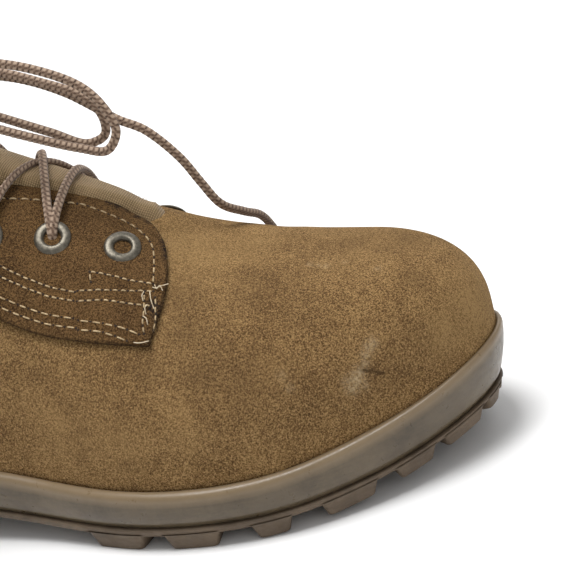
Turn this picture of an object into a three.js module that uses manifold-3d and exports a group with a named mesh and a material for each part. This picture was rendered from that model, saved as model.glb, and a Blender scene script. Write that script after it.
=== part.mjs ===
// Lace-up combat boot for the right foot, men's size 10, standing empty on its sole.
// Millimetres, +Z up, +X towards the toe, +Y towards the inner (medial) side of the foot.
// The origin is on the floor, under the middle of the boot's bounding box.
import * as THREE from 'three';
import { mergeVertices } from 'three/addons/utils/BufferGeometryUtils.js';
import Module from 'manifold-3d';

const wasm = await Module();
wasm.setup();

// ---------------------------------------------------------------- driving dimensions
const soleLength = 305;
const toeSpring = 12.5;
const springStart = 215;
const collarHeight = 238;
const gap = 0.3;
const wall = 2.4;
const lipWidth = 3.5;
const lipDrop = 0.8;
const lipDepth = 5;
const toeTuck = { start: 262, end: 303, amount: 5 };
const upperTip = soleLength - lipWidth;

// Half-widths of the sole on each side of the heel-to-toe line before its ends are
// rounded, and the drift of that line towards the inner side.
const solePlan = [
  { at: 0, lateral: 36.5, medial: 36, drift: 0 },
  { at: 45, lateral: 38.5, medial: 37, drift: 0 },
  { at: 90, lateral: 39.5, medial: 34.5, drift: 0 },
  { at: 120, lateral: 41, medial: 33.5, drift: 0 },
  { at: 150, lateral: 46, medial: 37, drift: 0 },
  { at: 185, lateral: 56.2, medial: 45, drift: 0 },
  { at: 212, lateral: 58.2, medial: 48.5, drift: 0 },
  { at: 240, lateral: 54, medial: 49.2, drift: 0.5 },
  { at: 270, lateral: 46.7, medial: 44.9, drift: 2.5 },
  { at: 305, lateral: 43.7, medial: 37.8, drift: 6 },
];
const heelRound = { reach: 34, power: 2.2 };
const toeRound = { lateral: { reach: 76, power: 2.05 }, medial: { reach: 57, power: 2.12 } };

// Heights along the sole: underside of the rubber rim, joint between rubber and
// midsole, and top of the midsole's lip, where the upper meets it.
const soleHeights = [
  { at: 0, rim: 7, joint: 11, lip: 38 },
  { at: 60, rim: 7, joint: 11, lip: 36.5 },
  { at: 84, rim: 7.5, joint: 11.5, lip: 34 },
  { at: 98, rim: 11.5, joint: 14.5, lip: 32 },
  { at: 118, rim: 11.5, joint: 14, lip: 29 },
  { at: 138, rim: 8.5, joint: 11, lip: 26 },
  { at: 160, rim: 5.8, joint: 8.6, lip: 22.6 },
  { at: 190, rim: 5.3, joint: 8, lip: 21 },
  { at: 215, rim: 5.2, joint: 7.8, lip: 20.5 },
  { at: 248, rim: 4.8, joint: 7.2, lip: 20.6 },
  { at: 280, rim: 4.1, joint: 6.1, lip: 21.8 },
  { at: 305, rim: 3.6, joint: 5.4, lip: 24.4 },
];

// The last, as sections that fan from upright across the forefoot to level in the
// shaft. top is the point on the instep line and low the point on the bottom or back.
// level is where the section is widest, as a share of its height. on_sole is how far
// the widths follow the sole. lean moves the instep line towards the inner side.
const lastSections = [
  { at: 0, top_x: 301.5, top_z: 69.5, low_x: 301.5, low_z: 20, lateral: 40, medial: 40, on_sole: 1,
    level: 0.42, low_power: 4, top_power: 2.5, lean: 1 },
  { at: 1, top_x: 272, top_z: 69.2, low_x: 272, low_z: 13, lateral: 44, medial: 42, on_sole: 1,
    level: 0.38, low_power: 4, top_power: 2.5, lean: 4 },
  { at: 2, top_x: 240, top_z: 73.3, low_x: 240, low_z: 9, lateral: 50, medial: 45, on_sole: 1,
    level: 0.33, low_power: 4, top_power: 2.36, lean: 6 },
  { at: 3, top_x: 210, top_z: 82.5, low_x: 210, low_z: 7.5, lateral: 52, medial: 45, on_sole: 1,
    level: 0.29, low_power: 4, top_power: 2.12, lean: 8.3 },
  { at: 4, top_x: 180, top_z: 99, low_x: 180, low_z: 8, lateral: 50, medial: 42, on_sole: 1,
    level: 0.25, low_power: 4, top_power: 1.93, lean: 7.5 },
  { at: 5, top_x: 152, top_z: 115, low_x: 148, low_z: 10, lateral: 44, medial: 38, on_sole: 1,
    level: 0.23, low_power: 4, top_power: 1.85, lean: 5.5 },
  { at: 6, top_x: 139, top_z: 126, low_x: 112, low_z: 13, lateral: 37, medial: 33, on_sole: 1,
    level: 0.22, low_power: 4, top_power: 1.85, lean: 3 },
  { at: 7, top_x: 130.5, top_z: 135, low_x: 74, low_z: 17, lateral: 35, medial: 33, on_sole: 0.6,
    level: 0.25, low_power: 3.8, top_power: 1.9, lean: 2 },
  { at: 8, top_x: 124.5, top_z: 143, low_x: 38, low_z: 20, lateral: 34.2, medial: 33.6, on_sole: 0.2,
    level: 0.31, low_power: 3.4, top_power: 2.0, lean: 1 },
  { at: 9, top_x: 120.5, top_z: 151, low_x: 12, low_z: 27, lateral: 34.2, medial: 34.4, on_sole: 0,
    level: 0.38, low_power: 2.7, top_power: 2.05, lean: 0 },
  { at: 10, top_x: 117.5, top_z: 159, low_x: 4.4, low_z: 50, lateral: 34.2, medial: 35.2, on_sole: 0,
    level: 0.43, low_power: 2.25, top_power: 2.1, lean: 0 },
  { at: 11, top_x: 115.5, top_z: 168, low_x: 5.6, low_z: 80, lateral: 34.6, medial: 35.6, on_sole: 0,
    level: 0.45, low_power: 2.15, top_power: 2.15, lean: 0 },
  { at: 12, top_x: 114, top_z: 180, low_x: 10, low_z: 112, lateral: 35.2, medial: 35.8, on_sole: 0,
    level: 0.46, low_power: 2.1, top_power: 2.15, lean: 0 },
  { at: 13, top_x: 113, top_z: 195, low_x: 11, low_z: 145, lateral: 36.4, medial: 36.6, on_sole: 0,
    level: 0.47, low_power: 2.1, top_power: 2.15, lean: 0 },
  { at: 14, top_x: 112, top_z: 214, low_x: 8.5, low_z: 185, lateral: 38.4, medial: 38.4, on_sole: 0,
    level: 0.48, low_power: 2.1, top_power: 2.15, lean: 0 },
  { at: 15, top_x: 111.5, top_z: 238, low_x: 5.5, low_z: 226, lateral: 40.6, medial: 40.6, on_sole: 0,
    level: 0.48, low_power: 2.1, top_power: 2.15, lean: 0 },
  { at: 16, top_x: 112, top_z: 270, low_x: 4, low_z: 262, lateral: 42.6, medial: 42.6, on_sole: 0,
    level: 0.48, low_power: 2.1, top_power: 2.15, lean: 0 },
];
const lastEnd = lastSections.length - 1;
const toeTopRound = { reach: 37, power: 2.35 };
const toeLowRound = { reach: 8, power: 3 };
const tipRings = 5;
const shaftStart = 10;
const footRings = 13;
const ringPoints = 18;

// The throat, from the front of the shaft to the vamp: its middle line and half-width.
const throatRows = [
  { at: 60, middle: 0, half: 16 },
  { at: 130, middle: 3, half: 14 },
  { at: 160, middle: 6, half: 10 },
  { at: 190, middle: 8.5, half: 6 },
  { at: 210, middle: 8.5, half: 5 },
];
const throatFront = 199;
const noseReach = 4;

// Overlays and tongue.
const facingThickness = 2;
const facingFront = 209;
const counterThickness = 1.8;
const collarThickness = 3.4;
const collarDepth = 30;
const collarFront = 73.7;
const tongueThickness = 3;
const tongueAbove = 8;
const tongueSpread = 12;
const tonguePad = { proud: 2.5, clear: 1, back: 152 };
const insoleThickness = 4;

// Eight pairs of flanged eyelets and the lace, which is a round cord.
const eyeletPairs = 8;
const firstEyelet = 192.3;
const eyeletPitch = 24;
const eyeletSetback = 17.5;
const frontInnerSetback = 21.5;
const eyelet = { hole: 2.5, barrel: 3, flange: 6, sides: 8, hole_in_leather: 3.9, hole_sides: 6 };
const lace = { radius: 1.5, sides: 8, lift: 5.7, first_pair: 2, last_pair: 5, steps: 4, pitch: 9 };
const knot = { section: 8.1, lift: 7, radius: 5.2, wide: 1.3, from_ties: 8.2 };

// The bow, from the knot out: two loops that come back to it, and two free ends.
const bowRoutes = {
  lace_loop_outer: [
    [135, -3.5, 152], [146, -4.5, 154.5], [160, -4, 153.5], [175, -3, 148.5], [189.6, -3, 140.2],
    [196.1, -5, 133.2], [199.1, -7, 124.8], [195, -8.5, 119.5], [185.5, -8, 121.6],
    [172, -8, 127], [157, -7.5, 133.5], [145, -7, 139], [136, -6.5, 143.5],
  ],
  lace_loop_inner: [
    [136.5, 2.5, 151], [148, 4, 150], [160, 4, 147.5], [174, 3, 142], [186.4, 2, 135.8],
    [192.3, 1, 128.8], [192.5, -1, 122.5], [186.5, -2.5, 120.8], [175, -2.5, 126.5],
    [160, -1.5, 133.5], [147, -0.5, 139.5], [137, 0, 144],
  ],
  lace_end_lateral: [
    [132.5, -8.3, 148.5], [137, -15, 147], [139.5, -23.5, 139.5], [136.5, -30, 124],
    [131, -34, 105], [127.5, -36.5, 86], [127, -38.8, 72.2], [127.7, -41.2, 58.5],
    [130, -42.5, 47.7],
  ],
  lace_end_medial: [
    [134, 7.5, 146.5], [146, 9.5, 146.5], [162, 10, 143], [178, 9.5, 135.5], [193.4, 9.5, 123.5],
    [201.3, 10.5, 118], [209.8, 12, 106.3], [213.9, 13, 96.9], [218, 14.5, 87.7], [222, 23.5, 80.2],
    [224.1, 32.3, 74.7], [224.5, 39.3, 67.6], [224.9, 44.3, 58.9], [224.7, 47.3, 49.3],
    [224.7, 48.7, 40],
  ],
};

// Tread: blocks along the edge and pairs of bars between them.
const tread = {
  rim_inset: 1, draft: 1.7, depth: 17, width: 16.5, heel: 4, heel_pitch: 22, heel_first: 11,
};
// Forefoot blocks along each edge, with their start from the tip of the toe.
const lugRows = [
  { start: 1.5, width: 13 },
  { start: 17, width: 21 },
  { start: 41, width: 16.5 },
  { start: 63.5, width: 20 },
  { start: 93, width: 14.2 },
  { start: 117.2, width: 19.8 },
  { start: 144, width: 22 },
];
const barPlaces = [24, 46, 68, 158, 179, 200, 221, 242, 263];
const bar = { length: 14, gap: 6 };

// ---------------------------------------------------------------- tables and curves
// Smooth value of one column of a table between its rows.
function read(rows, column, position) {
  const last = rows.length - 1;
  const at = Math.min(Math.max(position, rows[0].at), rows[last].at);
  const next = Math.max(1, rows.findIndex((row) => row.at >= at));
  const slope = (index) => {
    const before = rows[Math.max(index - 1, 0)];
    const after = rows[Math.min(index + 1, last)];
    return (after[column] - before[column]) / (after.at - before.at);
  };
  const from = rows[next - 1];
  const to = rows[next];
  const span = to.at - from.at;
  const t = (at - from.at) / span;
  const rise = (1 - t) * (1 - t) * t * slope(next - 1) * span;
  const fall = t * t * (1 - t) * slope(next) * span;
  const ease = t * t * (3 - 2 * t);
  return from[column] * (1 - ease) + to[column] * ease + rise - fall;
}

// Share of the full width left at a depth into a rounded end, from 1 down to 0.
function endRound(distanceToEnd, { reach, power }) {
  const depth = Math.min(Math.max(1 - distanceToEnd / reach, 0), 1);
  return (1 - depth ** power) ** (1 / power);
}

const spring = (x) => toeSpring * (Math.max(x - springStart, 0) / (soleLength - springStart)) ** 2;
const soleHeight = (column, x) => read(soleHeights, column, x) + spring(x);
const lipHeight = (x) => soleHeight('lip', x);

const ringAt = (count, point) => Array.from({ length: count }, (_, i) => point(i));

// ---------------------------------------------------------------- solids and cuts
function solid(geometry) {
  const bare = geometry.index ? geometry.clone() : geometry;
  bare.deleteAttribute('normal');
  bare.deleteAttribute('uv');
  const merged = mergeVertices(bare, 1e-4);
  return new wasm.Manifold(new wasm.Mesh({
    numProp: 3,
    vertProperties: new Float32Array(merged.attributes.position.array),
    triVerts: new Uint32Array(merged.index.array),
  }));
}

function geometryOf(shape) {
  const mesh = shape.getMesh();
  const geometry = new THREE.BufferGeometry();
  geometry.setAttribute('position', new THREE.Float32BufferAttribute(mesh.vertProperties, 3));
  geometry.setIndex(Array.from(mesh.triVerts));
  return geometry;
}

// A closed solid from points and triangles, turned so that its faces point out.
function closedSolid(points, faces) {
  const geometry = new THREE.BufferGeometry();
  const flat = points.flatMap((point) => [point.x, point.y, point.z]);
  geometry.setAttribute('position', new THREE.Float32BufferAttribute(flat, 3));
  const volume = faces.reduce((sum, [a, b, c]) =>
    sum + points[a].dot(points[b].clone().cross(points[c])), 0);
  geometry.setIndex((volume < 0 ? faces.map(([a, b, c]) => [a, c, b]) : faces).flat());
  return solid(geometry);
}

// The walls between rings that all have the same number of points.
function wallFaces(ringCount, count) {
  const faces = [];
  for (let i = 0; i < ringCount - 1; i += 1) {
    for (let k = 0; k < count; k += 1) {
      const [a, b] = [i * count + k, i * count + ((k + 1) % count)];
      faces.push([a, b, b + count], [a, b + count, a + count]);
    }
  }
  return faces;
}

// A solid through rings. Each end is closed by a fan about its own centre.
function loft(rings) {
  const count = rings[0].length;
  const points = rings.flat();
  const faces = wallFaces(rings.length, count);
  const centre = (ring) => ring.reduce((sum, point) =>
    sum.addScaledVector(point, 1 / count), new THREE.Vector3());
  const last = (rings.length - 1) * count;
  points.push(centre(rings[0]), centre(rings.at(-1)));
  for (let k = 0; k < count; k += 1) {
    const next = (k + 1) % count;
    faces.push([points.length - 2, next, k], [points.length - 1, last + k, last + next]);
  }
  return closedSolid(points, faces);
}

// A solid through levels of the sole. Its top and bottom are strips from side to side.
function stack(rings) {
  const count = rings[0].length;
  const faces = wallFaces(rings.length, count);
  const top = (rings.length - 1) * count;
  for (let k = 0; k < count / 2; k += 1) {
    const far = (count - k) % count;
    const near = count - k - 1;
    faces.push([k, near, k + 1], [k, far, near]);
    faces.push([top + k, top + k + 1, top + near], [top + k, top + near, top + far]);
  }
  return closedSolid(rings.flat(), faces.filter((face) => new Set(face).size === 3));
}

// A straight prism whose outline is drawn in the side view and runs from y0 to y1.
function sidePrism(outline, y0, y1) {
  const shape = new THREE.Shape(outline.map(([x, z]) => new THREE.Vector2(x, z)));
  const geometry = new THREE.ExtrudeGeometry(shape, { depth: y1 - y0, bevelEnabled: false });
  geometry.rotateX(Math.PI / 2);
  geometry.translate(0, y1, 0);
  return solid(geometry);
}

// A straight prism whose outline is drawn in the top view and runs from z0 to z1.
function planPrism(outline, z0, z1) {
  const shape = new THREE.Shape(outline.map(([x, y]) => new THREE.Vector2(x, y)));
  const geometry = new THREE.ExtrudeGeometry(shape, { depth: z1 - z0, bevelEnabled: false });
  geometry.translate(0, 0, z0);
  return solid(geometry);
}

// ---------------------------------------------------------------- the last
function soleHalf(side, x) {
  return read(solePlan, side, x);
}

// One section of the last: its widest point, its up direction and its reaches.
function lastSection(t) {
  const value = (column) => read(lastSections, column, t);
  const top = new THREE.Vector3(value('top_x'), 0, value('top_z'));
  const low = new THREE.Vector3(value('low_x'), 0, value('low_z'));
  const height = top.distanceTo(low);
  const level = value('level');
  const centre = low.clone().lerp(top, level);
  const toTip = t < 2 ? upperTip - centre.x : Infinity;
  const slim = (side) => endRound(toTip, {
    reach: toeRound[side].reach - lipWidth,
    power: toeRound[side].power,
  });
  const width = (side) => {
    const onSole = soleHalf(side, centre.x) - lipWidth;
    return slim(side) * THREE.MathUtils.lerp(value(side), onSole, value('on_sole'));
  };
  return {
    centre,
    up: top.clone().sub(low).normalize(),
    rise: height * (1 - level) * endRound(toTip, toeTopRound),
    drop: height * level * endRound(toTip, toeLowRound),
    lateral: width('lateral'),
    medial: width('medial'),
    drift: read(solePlan, 'drift', centre.x) * value('on_sole'),
    lean: value('lean') * (slim('lateral') + slim('medial')) / 2,
    low_power: value('low_power'),
    top_power: value('top_power'),
  };
}

// Point of the last on section t, at an angle from the instep line round the inner side.
function lastPoint(t, angle) {
  const section = lastSection(t);
  const [c, s] = [Math.cos(angle), Math.sin(angle)];
  const power = 2 / (c > 0 ? section.top_power : section.low_power);
  const share = Math.sign(c) * Math.abs(c) ** power;
  const height = share * (c > 0 ? section.rise : section.drop);
  const reach = Math.sign(s) * Math.abs(s) ** power * (s > 0 ? section.medial : section.lateral);
  const shift = section.drift + section.lean * Math.max(share, 0) ** 2;
  return section.centre.clone().addScaledVector(section.up, height).setY(reach + shift);
}

// The last moved along its own normals: outwards, or inwards where offset is negative.
function offsetPoint(t, angle, offset) {
  const point = lastPoint(t, angle);
  const step = 0.01;
  const along = lastPoint(Math.min(t + step, lastEnd), angle).sub(lastPoint(Math.max(t - step, 0), angle));
  const around = lastPoint(t, angle + step).sub(lastPoint(t, angle - step));
  const normal = around.cross(along).normalize();
  return point.addScaledVector(normal, offset);
}

// Rings crowd towards the toe's tip, stand evenly along the foot and at whole sections up
// the shaft.
function ringPositions() {
  const tip = ringAt(tipRings, (i) => ((i + 0.35) / tipRings) ** 2);
  const foot = ringAt(footRings, (i) => 1 + (i / footRings) * (shaftStart - 1));
  const shaft = ringAt(lastEnd - shaftStart + 1, (i) => shaftStart + i);
  return [...tip, ...foot, ...shaft];
}

function lastSolid(offset) {
  return loft(ringPositions().map((t) => ringAt(ringPoints, (k) =>
    offsetPoint(t, (k / ringPoints) * 2 * Math.PI, offset))));
}

// ---------------------------------------------------------------- sole outline
// Points of the sole's outline at one inset, as pairs with the same place along the sole.
const solePairs = 24;
function outlinePoint(x, side) {
  const sign = side === 'lateral' ? -1 : 1;
  const round = endRound(x, heelRound) * endRound(soleLength - x, toeRound[side]);
  return new THREE.Vector2(x, read(solePlan, 'drift', x) + sign * round * soleHalf(side, x));
}

function insetPoint(turn, side, inset) {
  const place = (angle) => outlinePoint((soleLength * (1 - Math.cos(angle))) / 2, side);
  const angle = Math.min(Math.max(turn, 0.001), Math.PI - 0.001);
  const step = 0.0009;
  const tangent = place(angle + step).sub(place(angle - step)).normalize();
  const inward = side === 'lateral' ? 1 : -1;
  return place(turn).add(new THREE.Vector2(-tangent.y, tangent.x).multiplyScalar(inset * inward));
}

// How far the sole's lower edge draws in under the toe, as a share of its full tuck.
function tuckShare(turn) {
  const x = (soleLength * (1 - Math.cos(turn))) / 2;
  return THREE.MathUtils.smoothstep(x, toeTuck.start, toeTuck.end);
}

// A closed solid through levels of the sole's outline, each with its inset, tuck and height.
function soleSolid(levels) {
  const rings = levels.map(({ inset, tuck, height }) => {
    const at = (i, side) => {
      const turn = (i / solePairs) * Math.PI;
      const { x, y } = insetPoint(turn, side, inset + tuck * tuckShare(turn));
      return new THREE.Vector3(x, y, height(x));
    };
    const out = Array.from({ length: solePairs }, (_, i) => at(i, 'lateral'));
    const back = Array.from({ length: solePairs }, (_, i) => at(solePairs - i, 'medial'));
    return [...out, ...back];
  });
  return stack(rings);
}

// ---------------------------------------------------------------- outsole tread
const edgeSteps = 600;

// Places along one side of the sole's edge, with their distance from the toe's tip.
function edgeTable(side) {
  let length = 0;
  let before = null;
  return ringAt(edgeSteps + 1, (i) => {
    const turn = Math.PI * (1 - i / edgeSteps);
    const point = insetPoint(turn, side, 0);
    length += before ? point.distanceTo(before) : 0;
    before = point;
    return { turn, length };
  });
}
const edges = { lateral: edgeTable('lateral'), medial: edgeTable('medial') };

function edgePlace(side, distance, inset) {
  const place = edges[side].find((entry) => entry.length >= distance) ?? edges[side].at(-1);
  return insetPoint(place.turn, side, inset + toeTuck.amount * tuckShare(place.turn));
}

// One block of tread under the rim, with sides that taper towards the floor.
function lug(footprint) {
  const level = (draft, height) => footprint(draft).map(({ x, y }) =>
    new THREE.Vector3(x, y, height(x)));
  return loft([
    level(tread.draft, spring),
    level(0, (x) => soleHeight('rim', x) + 1),
  ]);
}

function edgeLug(side, { start, width }) {
  return lug((draft) => {
    const [from, to] = [start + draft, start + width - draft];
    const [out, back] = [tread.rim_inset + draft / 2, tread.depth - draft];
    return [
      edgePlace(side, from, out),
      edgePlace(side, to, out),
      edgePlace(side, to, back),
      edgePlace(side, from, back),
    ];
  });
}

function barLug(x, y0, y1) {
  const half = bar.length / 2;
  return lug((draft) => [
    new THREE.Vector2(x - half + draft, y0 + draft),
    new THREE.Vector2(x + half - draft, y0 + draft),
    new THREE.Vector2(x + half - draft, y1 - draft),
    new THREE.Vector2(x - half + draft, y1 - draft),
  ]);
}

function edgeLugs(side) {
  const total = edges[side].at(-1).length;
  const toHeel = total - tread.heel_first - tread.width;
  const heelRows = ringAt(tread.heel, (k) => (
    { start: toHeel - k * tread.heel_pitch, width: tread.width }));
  return [...lugRows, ...heelRows].map((row) => edgeLug(side, row));
}

function barLugs(x) {
  const reach = (side) => soleHalf(side, x) - tread.depth - bar.gap;
  const drift = read(solePlan, 'drift', x);
  const [low, high] = [drift - reach('lateral'), drift + reach('medial')];
  const middle = (low + high) / 2;
  return [barLug(x, low, middle - bar.gap / 2), barLug(x, middle + bar.gap / 2, high)];
}

function makeOutsole() {
  const plate = soleSolid([
    { inset: tread.rim_inset, tuck: toeTuck.amount, height: (x) => soleHeight('rim', x) },
    { inset: 0.4, tuck: toeTuck.amount, height: (x) => soleHeight('joint', x) },
  ]);
  const blocks = [...edgeLugs('lateral'), ...edgeLugs('medial'), ...barPlaces.flatMap(barLugs)];
  return blocks.reduce((sum, block) => sum.add(block), plate);
}

// ---------------------------------------------------------------- midsole and insole
const belowFloor = (lift) => sidePrism([
  [-30, -40],
  [340, -40],
  ...ringAt(38, (i) => [340 - 10 * i, lipHeight(340 - 10 * i) - lipDepth + lift]),
], -90, 90);

function makeMidsole() {
  return soleSolid([
    { inset: 1.2, tuck: toeTuck.amount, height: (x) => soleHeight('joint', x) + gap },
    { inset: 0, tuck: 0.8 * toeTuck.amount, height: (x) => soleHeight('joint', x) + 4 },
    { inset: 0, tuck: 0, height: (x) => lipHeight(x) - lipDrop },
    { inset: lipWidth - 1, tuck: 0, height: lipHeight },
  ]).subtract(lastSolid(gap).subtract(belowFloor(0)));
}

function makeInsole() {
  return lastSolid(-wall - gap)
    .subtract(belowFloor(gap))
    .intersect(belowFloor(gap + insoleThickness));
}

// ---------------------------------------------------------------- throat and cut lines
const aboveHeight = (z) => sidePrism([[-60, z], [200, z], [200, 320], [-60, 320]], -90, 90);

// The edges of the throat in the top view, moved apart by spread and with a round front.
function throatPrism(spread, front) {
  const end = read(throatRows, 'half', front) + spread;
  const nose = Math.min(end, noseReach);
  const stations = [60, 95, 130, 150, 170, front - nose];
  const edge = (side) => (x) =>
    [x, read(throatRows, 'middle', x) + side * (read(throatRows, 'half', x) + spread)];
  const round = [-50, -25, 0, 25, 50].map((degrees) => {
    const turn = THREE.MathUtils.degToRad(degrees);
    return [front - nose + nose * Math.cos(turn), read(throatRows, 'middle', front) + end * Math.sin(turn)];
  });
  return planPrism([...stations.map(edge(-1)), ...round, ...stations.reverse().map(edge(1))], 60, 300);
}

// What lies between two offsets of the last, as a sheet of even thickness.
const sheet = (from, to) => lastSolid(to).subtract(lastSolid(from));

function makeUpper(holes) {
  return lastSolid(0)
    .subtract(lastSolid(-wall))
    .subtract(belowFloor(gap))
    .subtract(aboveHeight(collarHeight))
    .subtract(throatPrism(0, throatFront))
    .subtract(holes);
}

// The tongue under the facings, with the pad that stands proud in the front of the throat.
function makeTongue() {
  const under = -wall - gap - tongueThickness;
  const { proud, clear, back } = tonguePad;
  const pad = sheet(under, proud)
    .intersect(throatPrism(-clear, throatFront - clear))
    .intersect(sidePrism([[back, 60], [220, 60], [220, 140], [back, 140]], -90, 90));
  return sheet(under, -wall - gap)
    .subtract(aboveHeight(collarHeight + tongueAbove))
    .intersect(throatPrism(tongueSpread, throatFront + 10))
    .add(pad);
}

// ---------------------------------------------------------------- leather overlays
const smooth = (points, count) => new THREE.SplineCurve(points.map(([x, z]) =>
  new THREE.Vector2(x, z))).getPoints(count).map(({ x, y }) => [x, y]);

// The eyestay, with a wing over the vamp. Its outline in the side view runs up the front,
// and then down the back from the collar to the wing's lower corner.
const facingBack = smooth([[74, 300], [74, 238], [77, 200], [84, 165], [97, 133], [117, 106],
  [143, 84], [172, 71.5], [206.5, 65]], 18);
function makeEyestay(side, holes) {
  const outline = sidePrism([[250, 300], ...facingBack, [facingFront, 80], [250, 80]], -90, 90);
  const turn = side === 'lateral' ? -1 : 1;
  const corner = planPrism([
    [60, 0],
    [facingFront - 18, 8.5 + turn * 4],
    [facingFront - 11, 8.5 + turn * 6.5],
    [facingFront - 4.5, 8.5 + turn * 14.5],
    [facingFront - 1, 8.5 + turn * 24],
    [facingFront, 8.5 + turn * 34],
    [facingFront, turn * 90],
    [60, turn * 90],
  ], 40, 320);
  return sheet(gap, gap + facingThickness)
    .intersect(outline)
    .intersect(corner)
    .subtract(throatPrism(0, facingFront + 20))
    .subtract(aboveHeight(collarHeight))
    .subtract(holes);
}

// The heel counter, cut off just above the midsole's lip.
const counterTop = smooth([[92, 20], [86, 42], [70, 62], [48, 78], [22, 90], [-20, 96]], 12);
function makeCounter() {
  return sheet(gap, gap + counterThickness)
    .intersect(sidePrism([[-20, 0], [92, 0], ...counterTop], -90, 90))
    .subtract(belowFloor(lipDepth + gap));
}

// The padded collar, between the eyestays.
function makeCollar() {
  return sheet(gap, gap + collarThickness)
    .intersect(sidePrism([
      [-20, collarHeight - collarDepth - 4],
      [collarFront, collarHeight - collarDepth],
      [collarFront, collarHeight],
      [-20, collarHeight],
    ], -90, 90));
}

// ---------------------------------------------------------------- eyelets
// Angle round section t that lies at a distance beyond the throat's edge.
function angleBeside(t, side, distance) {
  const turn = side === 'lateral' ? -1 : 1;
  const step = 0.004;
  let angle = 0;
  let before = lastPoint(t, 0);
  let gone = 0;
  while (gone < distance) {
    angle += step * turn;
    const point = lastPoint(t, angle);
    const edge = read(throatRows, 'middle', point.x) + turn * read(throatRows, 'half', point.x);
    gone += (point.y - edge) * turn > 0 ? point.distanceTo(before) : 0;
    before = point;
  }
  return angle;
}

// Sections of the last that carry the eyelets, at even steps along the row.
function eyeletSections() {
  const sections = [];
  let t = 3;
  let before = null;
  let next = 0;
  while (sections.length < eyeletPairs) {
    const point = lastPoint(t, angleBeside(t, 'lateral', eyeletSetback));
    if (point.x <= firstEyelet) {
      next -= before ? point.distanceTo(before) : 0;
      before = point;
      if (next <= 0) {
        sections.push(t);
        next += eyeletPitch;
      }
    }
    t += 0.01;
  }
  return sections;
}

const eyeletPlaces = eyeletSections().map((t, pair) => {
  const place = (side) => {
    const inner = side === 'medial' && pair === 0;
    const angle = angleBeside(t, side, inner ? frontInnerSetback : eyeletSetback);
    const point = lastPoint(t, angle);
    const normal = offsetPoint(t, angle, 1).sub(point);
    return { t, angle, point, normal };
  };
  return { lateral: place('lateral'), medial: place('medial') };
});

// A lathe turned about Z, then stood on the last along its normal.
function standOn({ point, normal }, geometry) {
  geometry.rotateX(Math.PI / 2);
  const turn = new THREE.Quaternion().setFromUnitVectors(new THREE.Vector3(0, 0, 1), normal);
  geometry.applyQuaternion(turn);
  geometry.translate(point.x, point.y, point.z);
  return solid(geometry);
}

function eyeletSolid(place) {
  const seat = gap + facingThickness + 0.5;
  const { hole, barrel, flange, sides } = eyelet;
  const profile = [[hole, -wall], [barrel, -wall], [barrel, seat], [flange, seat],
    [hole, seat + 0.8], [hole, -wall]];
  return standOn(place, new THREE.LatheGeometry(profile.map(([r, h]) => new THREE.Vector2(r, h)), sides));
}

function eyeletHole(place) {
  const { hole_in_leather: radius, hole_sides: sides } = eyelet;
  return standOn(place, new THREE.CylinderGeometry(radius, radius, 16, sides));
}

// ---------------------------------------------------------------- lace
const circle = new THREE.Shape(ringAt(lace.sides, (k) => {
  const turn = (k / lace.sides) * 2 * Math.PI;
  return new THREE.Vector2(lace.radius * Math.cos(turn), lace.radius * Math.sin(turn));
}));

function cord(points, steps) {
  return solid(new THREE.ExtrudeGeometry(circle, {
    steps,
    extrudePath: new THREE.CatmullRomCurve3(points),
    bevelEnabled: false,
  }));
}

// A strand from one eyelet to another, lying round the instep above the tongue.
function strand(from, to) {
  return cord(ringAt(7, (i) => {
    const share = i / 6;
    const t = THREE.MathUtils.lerp(from.t, to.t, share);
    const angle = THREE.MathUtils.lerp(from.angle, to.angle, share);
    return offsetPoint(t, angle, lace.lift);
  }), lace.steps);
}

const knotPlace = offsetPoint(knot.section, 0, knot.lift);

// A strand from the last laced eyelet up to the side of the knot.
function tie(side) {
  const place = eyeletPlaces[lace.last_pair - 1][side];
  const turn = side === 'lateral' ? -1 : 1;
  const start = offsetPoint(place.t, place.angle, lace.lift);
  const end = knotPlace.clone().add(new THREE.Vector3(-1, turn * knot.from_ties, -2));
  const middle = offsetPoint((place.t + knot.section) / 2, place.angle / 2, lace.lift + 0.5);
  return cord([start, middle, end], lace.steps);
}

// The bar, the crossings and the ties, joined where they meet.
function makeLacing() {
  const bar = eyeletPlaces[lace.first_pair - 1];
  const crossings = ringAt(lace.last_pair - lace.first_pair, (i) => {
    const [low, high] = [eyeletPlaces[lace.first_pair - 1 + i], eyeletPlaces[lace.first_pair + i]];
    return [strand(low.lateral, high.medial), strand(low.medial, high.lateral)];
  });
  return [...crossings.flat(), tie('lateral'), tie('medial')]
    .reduce((sum, piece) => sum.add(piece), strand(bar.lateral, bar.medial));
}

function makeKnot() {
  const ball = new THREE.SphereGeometry(knot.radius, 10, 8);
  ball.scale(1, knot.wide, 1);
  ball.translate(knotPlace.x, knotPlace.y, knotPlace.z);
  return solid(ball);
}

function makeBow(route) {
  const points = route.map((point) => new THREE.Vector3(...point));
  const length = new THREE.CatmullRomCurve3(points).getLength();
  return cord(points, Math.round(length / lace.pitch));
}

// ---------------------------------------------------------------- nodes
// How far the sole reaches to one side, which sets the middle of the bounding box.
const sideReach = (side) => Math.max(...ringAt(soleLength, (x) => Math.abs(outlinePoint(x, side).y)));
const middle = (sideReach('medial') - sideReach('lateral')) / 2;

const boot = new THREE.Group();
function add(name, shape, color, roughness, metalness = 0) {
  const material = new THREE.MeshStandardMaterial({ color, roughness, metalness });
  const mesh = new THREE.Mesh(geometryOf(shape), material);
  mesh.name = name;
  mesh.position.set(-soleLength / 2, -middle, 0);
  boot.add(mesh);
}

const leather = 0x7a6040;
const holes = eyeletPlaces
  .flatMap(({ lateral, medial }) => [eyeletHole(lateral), eyeletHole(medial)])
  .reduce((sum, hole) => sum.add(hole));

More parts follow.
